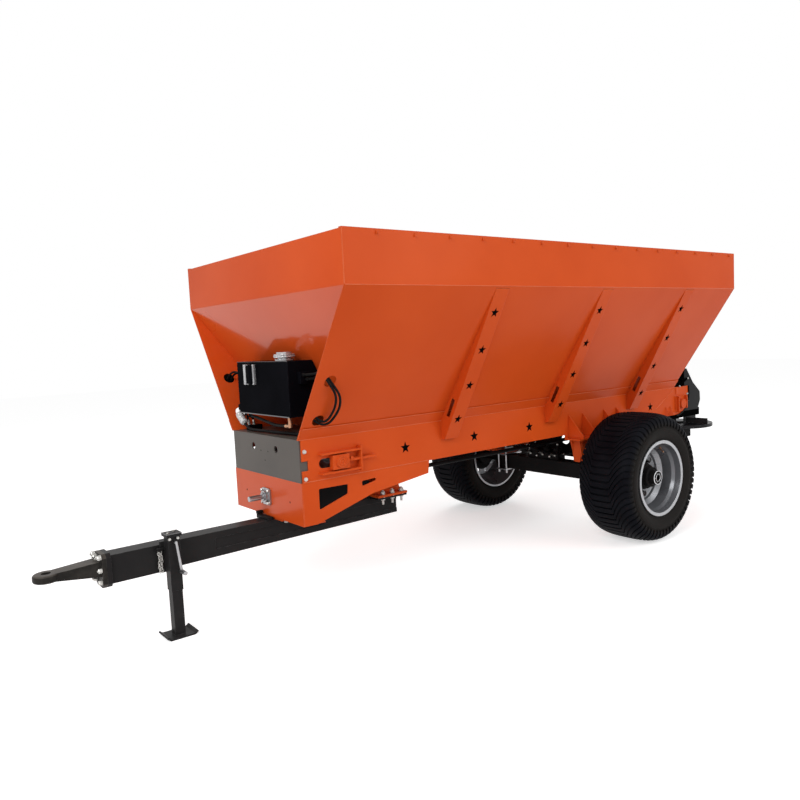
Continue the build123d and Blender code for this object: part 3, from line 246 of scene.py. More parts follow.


# The paler, brighter orange along the orange's edges is a painted highlight
orange = {"colour": (0.63, 0.082, 0.012), "colour2": (0.57, 0.068, 0.009), "specular": 0.07, "patch": 1.3,
          "grain": 420.0, "edge": 0.004, "edgeWearAndHighlight": 0.40, "edgeWearAndHighlightColour": (0.80, 0.24, 0.09)}
clean = {"dustTop": 0.0, "dustLow": 0.0}
looks = {
    "orangePaint": {**orange, "rough": 0.34, "bump": 0.07, "wave": 0.10, "dustTop": 0.06, "dustLow": 0.08,
                    "coat": 0.03},
    "wallPaint": {**orange, "rough": 0.30, "bump": 0.04, "wave": 0.05, "dustTop": 0.05, "coat": 0.55,
                  "coatRough": 0.10, "coatBelow": 1.987},
    "boxPaint": {**orange, "rough": 0.30, "bump": 0.04, "wave": 0.08, "dustTop": 0.05, "coat": 0.24},
    "greyPaint": {"colour": (0.105, 0.090, 0.078), "colour2": (0.085, 0.075, 0.067), "rough": 0.36, "specular": 0.15,
                  "edgeWearAndHighlight": 0.5, "edgeWearAndHighlightColour": (0.30, 0.29, 0.28), "bump": 0.08},
    "darkPaint": {"colour": (0.014, 0.014, 0.015), "colour2": (0.010, 0.010, 0.011), "rough": 0.36, "specular": 0.07,
                  "edgeWearAndHighlight": 0.45, "edgeWearAndHighlightColour": (0.14, 0.14, 0.14), "bump": 0.08, "blackAbove": 1.15},
    "blackPaint": {"colour": (0.010, 0.0095, 0.010), "colour2": (0.015, 0.014, 0.014), "rough": 0.40,
                   "specular": 0.02, "edgeWearAndHighlight": 0.35, "edgeWearAndHighlightColour": (0.09, 0.09, 0.09), "dustTop": 0.06,
                   "dustLow": 0.08, "dustColour": (0.16, 0.15, 0.14), "bump": 0.1},
    "frameBlack": {"colour": (0.014, 0.013, 0.0135), "colour2": (0.019, 0.018, 0.018), "rough": 0.38,
                   "specular": 0.06, "edge": 0.004, "edgeWearAndHighlight": 0.5, "edgeWearAndHighlightColour": (0.16, 0.16, 0.165), "dustLow": 0.06,
                   "dustColour": (0.17, 0.16, 0.15), "bump": 0.1},
    # The tow eye's faces looking up and down take a lighter tone: painted highlight
    "eyeSteel": {"colour": (0.022, 0.020, 0.018), "colour2": (0.014, 0.013, 0.012), "rough": 0.40, "specular": 0.06,
                 "patch": 12.0, "edge": 0.005, "edgeWearAndHighlight": 0.8, "edgeWearAndHighlightColour": (0.13, 0.12, 0.11), "bump": 0.2,
                 "facingLightTone": (0.070, 0.063, 0.056), "facingLightAxis": "Z"},
    # The tank's paler bluish edge colour is a painted highlight
    "tankPaint": {**clean, "colour": (0.0016, 0.0016, 0.0024), "colour2": (0.0045, 0.0045, 0.0065), "rough": 0.22,
                  "specular": 0.003, "edge": 0.004, "edgeWearAndHighlight": 0.4, "edgeWearAndHighlightColour": (0.045, 0.046, 0.055), "bump": 0.04},
    "brightSteel": {"colour": (0.42, 0.42, 0.43), "colour2": (0.30, 0.30, 0.31), "rough": 0.32, "metal": 1.0,
                    "patch": 9.0, "grain": 500.0, "edgeWearAndHighlight": 0.3, "edgeWearAndHighlightColour": (0.72, 0.72, 0.73), "edge": 0.0015},
    "slideSteel": {"colour": (0.20, 0.20, 0.205), "colour2": (0.13, 0.13, 0.135), "rough": 0.38, "metal": 1.0,
                   "patch": 6.0, "grain": 500.0, "edgeWearAndHighlight": 0.4, "edgeWearAndHighlightColour": (0.5, 0.5, 0.5), "edge": 0.0015},
    "chrome": {"colour": (0.66, 0.67, 0.69), "colour2": (0.56, 0.57, 0.59), "rough": 0.12, "metal": 1.0,
               "patch": 9.0, "edge": 0.0015, "bump": 0.03},
    "zincBolts": {"colour": (0.58, 0.57, 0.55), "colour2": (0.44, 0.43, 0.40), "rough": 0.3, "metal": 0.9,
                  "patch": 40.0, "edgeWearAndHighlight": 0.3, "edge": 0.001, "dustLow": 0.05},
    "paleZinc": {"colour": (0.62, 0.60, 0.57), "colour2": (0.50, 0.48, 0.45), "rough": 0.45, "metal": 0.2,
                 "patch": 40.0, "edgeWearAndHighlight": 0.3, "edge": 0.001, "dustLow": 0.05},
    "capSteel": {"colour": (0.52, 0.52, 0.53), "colour2": (0.42, 0.42, 0.43), "rough": 0.24, "metal": 0.6,
                 "patch": 9.0, "edge": 0.0015, "bump": 0.03},
    "brass": {"colour": (0.50, 0.27, 0.16), "colour2": (0.38, 0.20, 0.12), "rough": 0.34, "metal": 0.9,
              "patch": 40.0, "edge": 0.001},
    # The rims' faces looking along the axle take a lighter tone and their edges a pale one: painted highlight on the
    # rings
    "rimPaint": {"colour": (0.155, 0.160, 0.172), "colour2": (0.120, 0.124, 0.134), "rough": 0.28, "metal": 0.45,
                 "patch": 5.0, "grain": 400.0, "edgeWearAndHighlight": 0.8, "edgeWearAndHighlightColour": (0.62, 0.62, 0.62), "edge": 0.005,
                 "facingLightTone": (0.40, 0.41, 0.43), "facingLightAxis": "Y", "dustLow": 0.04, "dustTop": 0.02},
    # The discs' faces looking up and down take a darker tone: painted shade; their pale edges are a painted highlight
    "discPaint": {**clean, "colour": (0.030, 0.030, 0.032), "colour2": (0.014, 0.014, 0.015), "rough": 0.3,
                  "specular": 0.06, "patch": 8.0, "edgeWearAndHighlight": 0.4, "edgeWearAndHighlightColour": (0.5, 0.5, 0.5), "edge": 0.002,
                  "facingLightTone": (0.006, 0.006, 0.007), "facingLightAxis": "Z"},
    "hoseRubber": {"colour": (0.006, 0.006, 0.007), "colour2": (0.010, 0.010, 0.010), "rough": 0.42, "specular": 0.04,
                   "patch": 20.0, "grain": 500.0, "edge": 0.001, "bump": 0.2},
    "filterPaint": {"colour": (0.62, 0.62, 0.62), "colour2": (0.50, 0.49, 0.48), "rough": 0.35, "patch": 14.0,
                    "edge": 0.001, "bump": 0.06},
    # Paler orange for the lap and fold beads: a painted highlight line
    "edgePaint": {**clean, "colour": (0.70, 0.165, 0.062), "colour2": (0.64, 0.11, 0.03), "rough": 0.32,
                  "specular": 0.2, "patch": 6.0, "edge": 0.001},
    "shadeBlack": {**clean, "colour": (0.0022, 0.0022, 0.0025), "colour2": (0.0035, 0.0035, 0.0035), "rough": 0.7,
                   "specular": 0.0, "edge": 0.001, "edgeWearAndHighlight": 0.1},
}
finishes = {name: makeFinish(name, look) for name, look in looks.items()}

axle = {"x": -1.1945, "z": 0.507}  # middle of both wheels
# The slight blue tint of the tread colours and of their paler edges is painted sheen
tyreLook = {
    **clean, "colour": (0.0042, 0.0042, 0.0060), "colour2": (0.008, 0.0088, 0.0115), "rough": 0.5, "specular": 0.022,
    "patch": 7.0, "grain": 220.0, "bump": 0.35, "relief": 0.0008, "edgeWearAndHighlight": 0.5, "edgeWearAndHighlightColour": (0.035, 0.036, 0.04),
}
tyreWallLook = {"colour": (0.0165, 0.0150, 0.0140), "from": 0.405, "to": 0.455}


def makeTyreRubber(name):
    # Brownish wall near the rim, blacker towards the tread, whose slight blue tint is painted sheen
    rubber = makeFinish(name, tyreLook)
    tree = rubber.node_tree
    shader = tree.nodes["Principled BSDF"]
    centre = addNode(tree, "ShaderNodeMapping", {"Location": (-axle["x"], 0, -axle["z"]), "Scale": (1, 0, 1)})
    radius = addNode(tree, "ShaderNodeVectorMath", operation="LENGTH")
    link(tree, (addNode(tree, "ShaderNodeTexCoord"), "Object", centre, "Vector"), (centre, "Vector", radius, 0))
    treadShare = spread(tree, radius.outputs["Value"], 0, 1, tyreWallLook["from"], tyreWallLook["to"])
    blend = mixColour(tree, treadShare, tyreWallLook["colour"], shader.inputs["Base Color"].links[0].from_socket)
    tree.links.new(blend, shader.inputs["Base Color"])
    return rubber


finishes["tyreRubber"] = makeTyreRubber("tyreRubber")


# The finish of every carried-over part
finishOf = {
    "orangePaint": "hopper_side_left hopper_side_right hopper_rear frame_side_left frame_side_right ribs_left "
                   "ribs_right truss_plate_left truss_plate_right axle_mounts leaf_springs tensioners rear_bearings "
                   "crossmembers drawbar_mount conveyor_floor",
    "wallPaint": "hopper_front",
    "boxPaint": "front_box",
    "greyPaint": "front_cover",
    "darkPaint": "hood",
    "tankPaint": "oil_tank tank_stand",
    "frameBlack": "drawbar jack_tube jack_leg",
    "eyeSteel": "tow_eye",
    "discPaint": "spinner_disc_left spinner_disc_right",
    "blackPaint": "axle_beam drop_box spinner_gearbox spinner_frame gate_guides gate_cylinder hub_left hub_right "
                  "driveline driveline_cover rear_guard",
    "brightSteel": "level_gauge conveyor_shafts conveyor_chain axle_clamps jack_crank pto_stub pto_bearing "
                   "hose_fittings",
    "slideSteel": "gate",
    "capSteel": "tank_cap",
    "rimPaint": "rim_left rim_right",
    "tyreRubber": "tyre_left tyre_right",
    "hoseRubber": "rear_edging front_wing_hose_left front_wing_hose_right rear_wing_hose_left rear_wing_hose_right "
                  "upper_tank_hose lower_tank_hose",
}
for finishName, nodes in finishOf.items():
    for node in nodes.split():
        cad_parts[node].material_slots[0].material = finishes[finishName]
print("finishes made:", len(finishes))


# Hoses
hoses = {
    "front_wing_hose": {
        "points": [(1.5395, 0.3853, 1.495), (1.5395, 0.48, 1.495), (1.5455, 0.61, 1.515), (1.5535, 0.7154, 1.4372),
                   (1.4905, 0.6779, 1.3677), (1.4735, 0.6168, 1.2777), (1.5105, 0.552, 1.1931),
                   (1.5505, 0.4828, 1.2584), (1.5175, 0.375, 1.215), (1.5175, 0.375, 1.1383)],
        "diameter": 0.015, "length": 0.913,
    },
    "rear_wing_hose": {
        "points": [(1.5155, 0.3853, 1.468), (1.5155, 0.478, 1.468), (1.5195, 0.6, 1.51), (1.5295, 0.7136, 1.4311),
                   (1.4605, 0.6761, 1.3616), (1.4395, 0.615, 1.2716), (1.4955, 0.5387, 1.1699),
                   (1.5795, 0.4767, 1.2494), (1.5535, 0.376, 1.215), (1.5535, 0.376, 1.1383)],
        "diameter": 0.015, "length": 0.948,
    },
    "upper_tank_hose": {
        "points": [(1.5955, 0.2543, 1.176), (1.5935, 0.15, 1.166), (1.5915, 0.02, 1.178), (1.5935, -0.11, 1.199),
                   (1.5955, -0.19, 1.211), (1.5955, -0.2397, 1.213)],
        "diameter": 0.019, "length": 0.497,
    },
    "lower_tank_hose": {
        "points": [(1.6005, -0.3448, 1.1598), (1.6005, -0.2958, 1.1218), (1.5935, -0.176, 1.119),
                   (1.5855, -0.04, 1.121), (1.5735, 0.1, 1.119), (1.5505, 0.222, 1.12), (1.5505, 0.3347, 1.12)],
        "diameter": 0.019, "length": 0.693,
    },
}


def makeHose(name, points, hose):
    line = bpy.data.curves.new(name + "_line", "CURVE")
    line.dimensions = "3D"
    line.bevel_depth = hose["diameter"] / 2
    line.bevel_resolution = 4
    line.resolution_u = 12
    line.use_fill_caps = True
    spline = line.splines.new("NURBS")
    spline.points.add(len(points) - 1)
    for knot, place in zip(spline.points, points):
        knot.co = (*place, 1)
    spline.order_u = 3
    spline.use_endpoint_u = True
    line.materials.append(finishes["hoseRubber"])
    piece = addObject(name + "_tube", line)
    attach(piece, "chassis")
    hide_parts(name)


for name, hose in hoses.items():
    if name.endswith("wing_hose"):
        # One on each side, mirrored
        makeHose(name + "_left", hose["points"], hose)
        makeHose(name + "_right", [(x, -y, z) for x, y, z in hose["points"]], hose)
    else:
        makeHose(name, hose["points"], hose)
print("hoses made")


def finishPiece(name, shape, finish, body="chassis", sharp=35):
    bmesh.ops.recalc_face_normals(shape, faces=shape.faces)
    mesh = bpy.data.meshes.new(name)
    shape.to_mesh(mesh)
    shape.free()
    mesh.shade_smooth()
    mesh.set_sharp_from_angle(angle=math.radians(sharp))
    mesh.materials.append(finishes[finish])
    piece = addObject(name, mesh)
    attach(piece, body)
    return piece


def meeting(elements, kind):
    # The edges or faces that these elements touch, each once and always in the same order
    return list(dict.fromkeys(item for element in elements for item in getattr(element, kind)))


def easeEdges(shape, edges, width):
    bmesh.ops.bevel(shape, geom=edges, offset=width, segments=2, affect="EDGES", profile=0.5, material=-1)


def facing(place, axis):
    # Matrix that takes the local Z axis along axis, with its origin at place
    return Matrix.Translation(place) @ Vector((0, 0, 1)).rotation_difference(Vector(axis)).to_matrix().to_4x4()


def addRod(shape, start, end, radius, segments=16, endRadius=None, round=0.0):
    # Round bar or cone between two places, its rims rounded by a bevel
    gap = Vector(end) - Vector(start)
    made = bmesh.ops.create_cone(
        shape, cap_ends=True, segments=segments, radius1=radius,
        radius2=radius if endRadius is None else endRadius, depth=gap.length,
        matrix=facing(Vector(start) + gap / 2, gap.normalized()),
    )
    if round:
        corners = set(made["verts"])
        caps = [face for face in shape.faces if len(face.verts) == segments and set(face.verts) <= corners]
        easeEdges(shape, meeting(caps, "edges"), round)


boltShape = {"washerThick": 0.12, "washerRadius": 0.62, "shoulder": 0.8, "chamfer": 0.82}  # shares of its size


def addHexBolt(shape, place, axis, across, height, washer=True):
    # Hexagon head with a chamfered top, on a washer; place is on the surface it seats on
    way = Vector(axis).normalized()
    foot = Vector(place)
    if washer:
        seat = foot + way * across * boltShape["washerThick"]
        addRod(shape, foot, seat, across * boltShape["washerRadius"], segments=20)
        foot = seat
    radius = across / 2 / math.cos(math.pi / 6)
    shoulder = foot + way * height * boltShape["shoulder"]
    addRod(shape, foot, shoulder, radius, segments=6)
    addRod(shape, shoulder, foot + way * height, radius, segments=6, endRadius=radius * boltShape["chamfer"])


def addLoop(shape, ring, tube, matrix, segments=32, tubeSegments=10):
    # Closed ring of round section, spun round the matrix's Z axis
    made = bmesh.ops.create_circle(shape, segments=tubeSegments, radius=tube)
    bmesh.ops.rotate(shape, verts=made["verts"], cent=(0, 0, 0), matrix=Matrix.Rotation(math.radians(90), 3, "X"))
    bmesh.ops.translate(shape, verts=made["verts"], vec=(ring, 0, 0))
    edges = meeting(made["verts"], "link_edges")
    before = set(shape.verts)
    bmesh.ops.spin(shape, geom=made["verts"] + edges, cent=(0, 0, 0), axis=(0, 0, 1), angle=math.tau,
                   steps=segments, use_merge=True)
    verts = [vert for vert in shape.verts if vert not in before] + [v for v in made["verts"] if v.is_valid]
    bmesh.ops.transform(shape, matrix=matrix, verts=verts)


def addBlock(shape, low, high, bevel=0.0):
    # Block between two corners with its edges eased
    made = bmesh.ops.create_cube(shape, size=1)
    low, high = Vector(low), Vector(high)
    bmesh.ops.scale(shape, verts=made["verts"], vec=high - low)
    bmesh.ops.translate(shape, verts=made["verts"], vec=(high + low) / 2)
    if bevel:
        easeEdges(shape, meeting(made["verts"], "link_edges"), bevel)


def addStar(shape, place, up, outward, radius, thickness, waist=0.42):
    # Five-pointed plate standing thickness off the face at place
    up, outward = Vector(up).normalized(), Vector(outward).normalized()
    across = up.cross(outward)
    made = bmesh.ops.create_circle(shape, cap_ends=True, segments=10, radius=radius)
    for vert in made["verts"]:
        step = round((math.atan2(vert.co.y, vert.co.x) - math.pi / 2) / (math.pi / 5))
        if step % 2:
            vert.co *= waist
    raised = bmesh.ops.extrude_face_region(shape, geom=meeting(made["verts"], "link_faces"))
    top = [item for item in raised["geom"] if isinstance(item, bmesh.types.BMVert)]
    bmesh.ops.translate(shape, verts=top, vec=(0, 0, thickness))
    frameAxes = Matrix((across, up, outward)).transposed().to_4x4()
    bmesh.ops.transform(shape, matrix=Matrix.Translation(place) @ frameAxes, verts=made["verts"] + top)


def bothSides(places):
    # The same places on the left and on the right
    return [(x, side * y, z) for side in (1, -1) for x, y, z in places]


# Tyres
tyre = {
    "middleY": 0.893, "halfWidth": 0.232, "radius": 0.507, "widest": 0.386, "roundness": 3.7, "grooveDepth": 0.015,
    "bead": (0.2025, 0.300), "beadDepth": 0.0125, "wallSteps": 26, "turns": 160, "barCount": 60, "barWidth": 0.0385,
    "straight": 0.082, "bendEnd": 0.215, "bendTurn": 17.5, "barFoot": 0.392, "footReach": 0.03, "barShare": 0.735,
    "middleShare": 0.96, "taper": 0.30, "edgeDrop": 0.0012, "skirt": 0.004, "skirtShare": 0.985, "stations": 40,
    "wallRings": (0.318, 0.395), "ringTube": 0.0025, "ringSink": 0.0012,
}


def tyreWall(share):
    # Outline from the middle of the tread (0) over the shoulder to the widest place (0.75) and the bead (1)
    halfWidth, top, widest = tyre["halfWidth"], tyre["radius"], tyre["widest"]
    power = 2 / tyre["roundness"]
    if share <= 0.75:
        angle = share / 0.75 * math.pi / 2
        return halfWidth * math.sin(angle) ** power, widest + (top - widest) * math.cos(angle) ** power
    way = (share - 0.75) / 0.25
    beadY, beadR = tyre["bead"]
    return halfWidth - (halfWidth - beadY) * way ** 2.2, widest + (beadR - widest) * way


def barTurn(y):
    # How far round the wheel a tread bar has bent at this distance from its middle
    way = min(max((y - tyre["straight"]) / (tyre["bendEnd"] - tyre["straight"]), 0), 1)
    return math.radians(tyre["bendTurn"]) * (1 - (1 - way) ** 1.6)


def makeCarcass(shape):
    # The tyre's body at the bottom of the grooves
    outline = []
    reach = tyre["footReach"]
    for side in (-1, 1):
        for step in range(tyre["wallSteps"] + 1):
            share = step / tyre["wallSteps"]
            y, r = tyreWall(share)
            sink = tyre["grooveDepth"] * (1 if r > tyre["barFoot"] + reach else max(r - tyre["barFoot"], 0) / reach)
            normalY = min(abs(y) / tyre["halfWidth"], 1) ** 3
            outline.append((side * share, (side * (y - sink * normalY * 0.8), r - sink * (1 - normalY * 0.7))))
    outline.sort(key=lambda entry: entry[0])
    ring = []
    for _, place in outline:
        if not ring or (Vector(ring[-1]) - Vector(place)).length >= 0.0005:
            ring.append(place)
    beadY, beadR = tyre["bead"]
    ring = [(-beadY, beadR - tyre["beadDepth"])] + ring + [(beadY, beadR - tyre["beadDepth"])]
    verts = [shape.verts.new((0, y, r)) for y, r in ring]
    edges = [shape.edges.new(pair) for pair in zip(verts, verts[1:] + verts[:1])]
    bmesh.ops.spin(shape, geom=verts + edges, cent=(0, 0, 0), axis=(0, 1, 0), angle=math.tau, steps=tyre["turns"],
                   use_merge=True)


def makeBar(shape):
    # One tread bar: a thin grid laid over the tyre from wall to wall, given its height by extruding
    made = bmesh.ops.create_grid(shape, x_segments=tyre["stations"], y_segments=2, size=0.5)
    limit = tyre["barShare"]
    for vert in made["verts"]:
        share = vert.co.x * 2 * limit
        y, r = tyreWall(abs(share))
        width = tyre["barWidth"] * (tyre["middleShare"] if abs(y) < tyre["straight"] else 1.0)
        taper = 1 - tyre["taper"] * max(0, (abs(share) - 0.5) / (limit - 0.5))
        angle = barTurn(abs(y)) + vert.co.y * width * taper / tyre["radius"]
        foot = max(0, (tyre["barFoot"] + tyre["footReach"] - r) / tyre["footReach"])
        sinkY = min(abs(y) / tyre["halfWidth"], 1) ** 3
        drop = tyre["grooveDepth"] * min(foot, 1) * 0.9
        y, r = math.copysign(y - drop * sinkY, share), r - drop * (1 - sinkY)
        r -= tyre["edgeDrop"] if abs(vert.co.y) > 0.4 else 0.0
        vert.co = (-r * math.sin(angle), y, r * math.cos(angle))
    skirt = bmesh.ops.extrude_face_region(shape, geom=meeting(made["verts"], "link_faces"))
    for vert in [item for item in skirt["geom"] if isinstance(item, bmesh.types.BMVert)]:
        r = math.hypot(vert.co.x, vert.co.z)
        shrink = 1 - (tyre["grooveDepth"] + tyre["skirt"]) / r
        vert.co = (vert.co.x * shrink, vert.co.y * tyre["skirtShare"], vert.co.z * shrink)


def makeTyre(side, body):
    shape = bmesh.new()
    makeBar(shape)
    bar = list(shape.verts) + list(shape.edges) + list(shape.faces)
    bmesh.ops.spin(shape, geom=bar, cent=(0, 0, 0), axis=(0, 1, 0), angle=math.tau * (1 - 1 / tyre["barCount"]),
                   steps=tyre["barCount"] - 1, use_duplicate=True)
    makeCarcass(shape)
    # Thin moulding rings on the outer and inner wall
    for wallSide in (-1, 1):
        for ringRadius in tyre["wallRings"]:
            share = 0.75 + 0.25 * (tyre["widest"] - ringRadius) / (tyre["widest"] - tyre["bead"][1])
            y = tyreWall(min(share, 1))[0] if ringRadius < tyre["widest"] else tyre["halfWidth"] - 0.002
            place = Matrix.Translation((0, wallSide * (y - tyre["ringSink"]), 0))
            spot = place @ Matrix.Rotation(math.radians(90), 4, "X")
            addLoop(shape, ringRadius, tyre["ringTube"], spot, segments=96, tubeSegments=8)
    bmesh.ops.translate(shape, verts=shape.verts, vec=(axle["x"], side * tyre["middleY"], axle["z"]))
    name = "tyre_left" if side > 0 else "tyre_right"
    piece = finishPiece(name + "_treaded", shape, "tyreRubber", body, sharp=40)
    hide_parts(name)


makeTyre(1, "wheel_left")
makeTyre(-1, "wheel_right")
print("tyres made")


# Wheel details
wheelTrim = {
    "nutRing": 0.128, "nutCount": 10, "discY": 0.911, "nutSize": 0.026, "nutHeight": 0.020, "studHeight": 0.034,
    "studRadius": 0.0085, "capY": 1.075, "capRing": 0.0525, "capFace": 0.041, "capMiddle": 0.017, "middleRing": 0.029,
    "screwRing": 0.0370, "screwRadius": 0.0040, "valveTurn": 118, "valveY": 1.02, "valveRing": 0.252,
}


def roundWheel(radius, turn, y):
    # A place at this radius and turn round the wheel's axle
    return Vector((axle["x"] + radius * math.cos(turn), y, axle["z"] + radius * math.sin(turn)))


def makeWheelTrim(side, body, suffix):
    trim = wheelTrim
    hubCentre = Vector((axle["x"], side * trim["capY"], axle["z"]))
    outward = Vector((0, side, 0))
    capBack = hubCentre - outward * 0.004
    nuts = bmesh.new()
    for step in range(trim["nutCount"]):
        foot = roundWheel(trim["nutRing"], math.tau * (step + 0.5) / trim["nutCount"], side * trim["discY"])
        addHexBolt(nuts, foot, outward, trim["nutSize"], trim["nutHeight"])
        addRod(nuts, foot + outward * trim["nutHeight"], foot + outward * trim["studHeight"], trim["studRadius"],
               segments=12, round=0.002)
    finishPiece("wheel_nuts_" + suffix, nuts, "blackPaint", body)
    ring = bmesh.new()
    addLoop(ring, trim["capRing"], 0.0045, facing(hubCentre - outward * 0.0035, outward), segments=40)
    finishPiece("hub_cap_ring_" + suffix, ring, "chrome", body)
    button = bmesh.new()
    addRod(button, capBack, hubCentre - outward * 0.0005, trim["capFace"], segments=32, round=0.0012)
    finishPiece("hub_cap_face_" + suffix, button, "blackPaint", body)
    middle = bmesh.new()
    addRod(middle, capBack, hubCentre, trim["capMiddle"], segments=24, round=0.001)
    addLoop(middle, trim["middleRing"], 0.0022, facing(hubCentre - outward * 0.001, outward), segments=32,
            tubeSegments=8)
    finishPiece("hub_cap_middle_" + suffix, middle, "chrome", body)
    screws = bmesh.new()
    for step in range(6):
        turn = math.tau * step / 6
        foot = hubCentre + Vector((trim["screwRing"] * math.cos(turn), -side * 0.001,
                                   trim["screwRing"] * math.sin(turn)))
        addRod(screws, foot, foot + outward * 0.001, trim["screwRadius"], segments=10)
    finishPiece("hub_cap_screws_" + suffix, screws, "zincBolts", body)
    # Tyre valve, bent outwards from its foot
    valve = bmesh.new()
    turn = math.radians(trim["valveTurn"])
    along = Vector((math.cos(turn), 0, math.sin(turn)))
    foot = Vector((axle["x"], side * trim["valveY"], axle["z"])) + along * trim["valveRing"]
    bend = foot - along * 0.012 + outward * 0.006
    neck = foot - along * 0.030 + outward * 0.030
    addRod(valve, foot, bend, 0.008, segments=14, round=0.002)
    addRod(valve, bend, neck, 0.0045, segments=12)
    addRod(valve, neck, foot - along * 0.038 + outward * 0.041, 0.006, segments=12, round=0.0015)
    finishPiece("valve_" + suffix, valve, "brass", body)


makeWheelTrim(1, "wheel_left", "left")
makeWheelTrim(-1, "wheel_right", "right")
print("wheel details made")


# Thin black plates over the star cut-outs, and plugs in the cover's small holes: painted shade standing in for the dark
# inside of these openings
cutouts = {
    "frameX": (0.8245, 0.1815, -0.4125, -2.0595), "frameY": 0.457, "frameZ": 0.955, "frameStar": 0.0415,
    "ribX": (0.4355, -0.6605, -1.7525), "ribZ": (1.114, 1.351, 1.588, 1.825), "ribFootZ": 0.972, "ribFootY": 0.490,
    "ribLean": 0.55021, "ribStar": 0.0360, "lift": 0.0006,
    "coverX": (1.634, 1.6379), "coverHoles": (
        (-0.0508, 0.999, 0.0042), (0.0475, 0.9993, 0.0042), (-0.0003, 0.9374, 0.0042),
        (-0.2958, 0.7034, 0.0058), (0.3013, 0.7022, 0.0058)),
}


def makeCutouts():
    shape = bmesh.new()
    way = Vector((0, cutouts["ribLean"], 1)).normalized()
    for side in (1, -1):
        for x in cutouts["frameX"]:
            addStar(shape, (x, side * cutouts["frameY"], cutouts["frameZ"]), (0, 0, 1), (0, side, 0),
                    cutouts["frameStar"], cutouts["lift"])
        for x in cutouts["ribX"]:
            for z in cutouts["ribZ"]:
                y = cutouts["ribFootY"] + (z - cutouts["ribFootZ"]) * cutouts["ribLean"]
                addStar(shape, (x, side * y, z), (0, side * way.y, way.z), (0, side * way.z, -way.y),
                        cutouts["ribStar"], cutouts["lift"])
    back, front = cutouts["coverX"]
    for y, z, radius in cutouts["coverHoles"]:
        addRod(shape, (back, y, z), (front, y, z), radius, segments=14)
    finishPiece("cutout_rubbers", shape, "shadeBlack", sharp=30)


makeCutouts()
print("cut-outs covered")


# Lap edges and weld beads along the folds, in a paler orange that paints a highlight line on each, and the hooks under
# the top rim
seams = {
    "bead": 0.0022, "lap": ((1.635, 0.5042, 1.1718), (-2.450, 0.5042, 1.1718)),
    "fold": ((1.640, 0.4570, 1.1035), (-2.480, 0.4570, 1.1035)),
    "truss": ((1.626, 0.4572, 0.8420), (0.628, 0.4572, 0.8420)),
    "corner": ((1.6435, 1.0485, 1.990), (1.6435, 1.0485, 2.284)),
    "rear": ((-2.1483, 0.4570, 0.9243), (-2.4782, 0.4570, 1.1008)),
    "bandFold": ((1.640, 1.0497, 1.9870), (-2.455, 1.0497, 1.9870)),
    "hookZ": 2.262, "hookY": (1.0525, 1.0560, 1.0640), "hookCount": 15, "hookFrom": 1.42, "hookStep": 0.27,
    "hookWire": 0.0032,
}


def makeSeams():
    shape = bmesh.new()
    for name in ("lap", "fold", "truss", "corner", "rear", "bandFold"):
        for side in (1, -1):
            start, end = [(x, side * y, z) for x, y, z in seams[name]]
            addRod(shape, start, end, seams["bead"], segments=8)
    finishPiece("lap_beads", shape, "edgePaint")
    shape = bmesh.new()
    for step in range(seams["hookCount"]):
        x = seams["hookFrom"] - seams["hookStep"] * step
        for side in (1, -1):
            high, low, tip = [(x, side * y, seams["hookZ"] + up)
                              for y, up in zip(seams["hookY"], (0.018, -0.004, 0.004))]
            addRod(shape, high, low, seams["hookWire"], segments=8)
            addRod(shape, low, tip, seams["hookWire"], segments=8)
    finishPiece("cover_hooks", shape, "orangePaint")


makeSeams()
print("seams made")


# Bolts on the frame, the front box and the drawbar mount
fixings = {
    "frameBolts": ((1.6058, 0.457, 1.0307), (1.6057, 0.457, 0.8614)), "frameAcross": 0.021, "frameHeight": 0.009,
    "bearingX": 1.6495, "bearingZ": 0.7, "bearingBolts": 0.041, "bearingAcross": 0.017, "bearingHeight": 0.011,
    "mountY": 0.138, "padX": (0.8006, 0.7162, 0.6331), "padTop": 0.584, "padFoot": 0.5680, "padAcross": 0.030,
    "studTop": 0.6150, "studFoot": 0.512, "studRadius": 0.0085, "boxX": (1.5858, 1.5305), "boxZ": 0.5520,
    "boxAcross": 0.024,
}


def makeFixings():
    trim = fixings
    shape = bmesh.new()
    for x, y, z in bothSides(trim["frameBolts"]):
        addHexBolt(shape, (x, y, z), (0, y, 0), trim["frameAcross"], trim["frameHeight"])
    finishPiece("frame_bolts", shape, "paleZinc")
    shape = bmesh.new()
    for dy in (-1, 1):
        for dz in (-1, 1):
            place = (trim["bearingX"], dy * trim["bearingBolts"], trim["bearingZ"] + dz * trim["bearingBolts"])
            addHexBolt(shape, place, (1, 0, 0), trim["bearingAcross"], trim["bearingHeight"])
    finishPiece("bearing_bolts", shape, "zincBolts")
    shape = bmesh.new()
    for x in trim["padX"]:
        for y in (trim["mountY"], -trim["mountY"]):
            addRod(shape, (x, y, trim["studFoot"]), (x, y, trim["studTop"]), trim["studRadius"], segments=12,
                   round=0.0015)
            addHexBolt(shape, (x, y, trim["padTop"]), (0, 0, 1), trim["padAcross"], 0.020)
            addHexBolt(shape, (x, y, trim["padFoot"]), (0, 0, -1), trim["padAcross"], 0.022)
    for x in trim["boxX"]:
        for y in (trim["mountY"], -trim["mountY"]):
            addHexBolt(shape, (x, y, trim["boxZ"]), (0, 0, -1), trim["boxAcross"], 0.013)
    finishPiece("mount_bolts", shape, "paleZinc")


makeFixings()
print("bolts made")


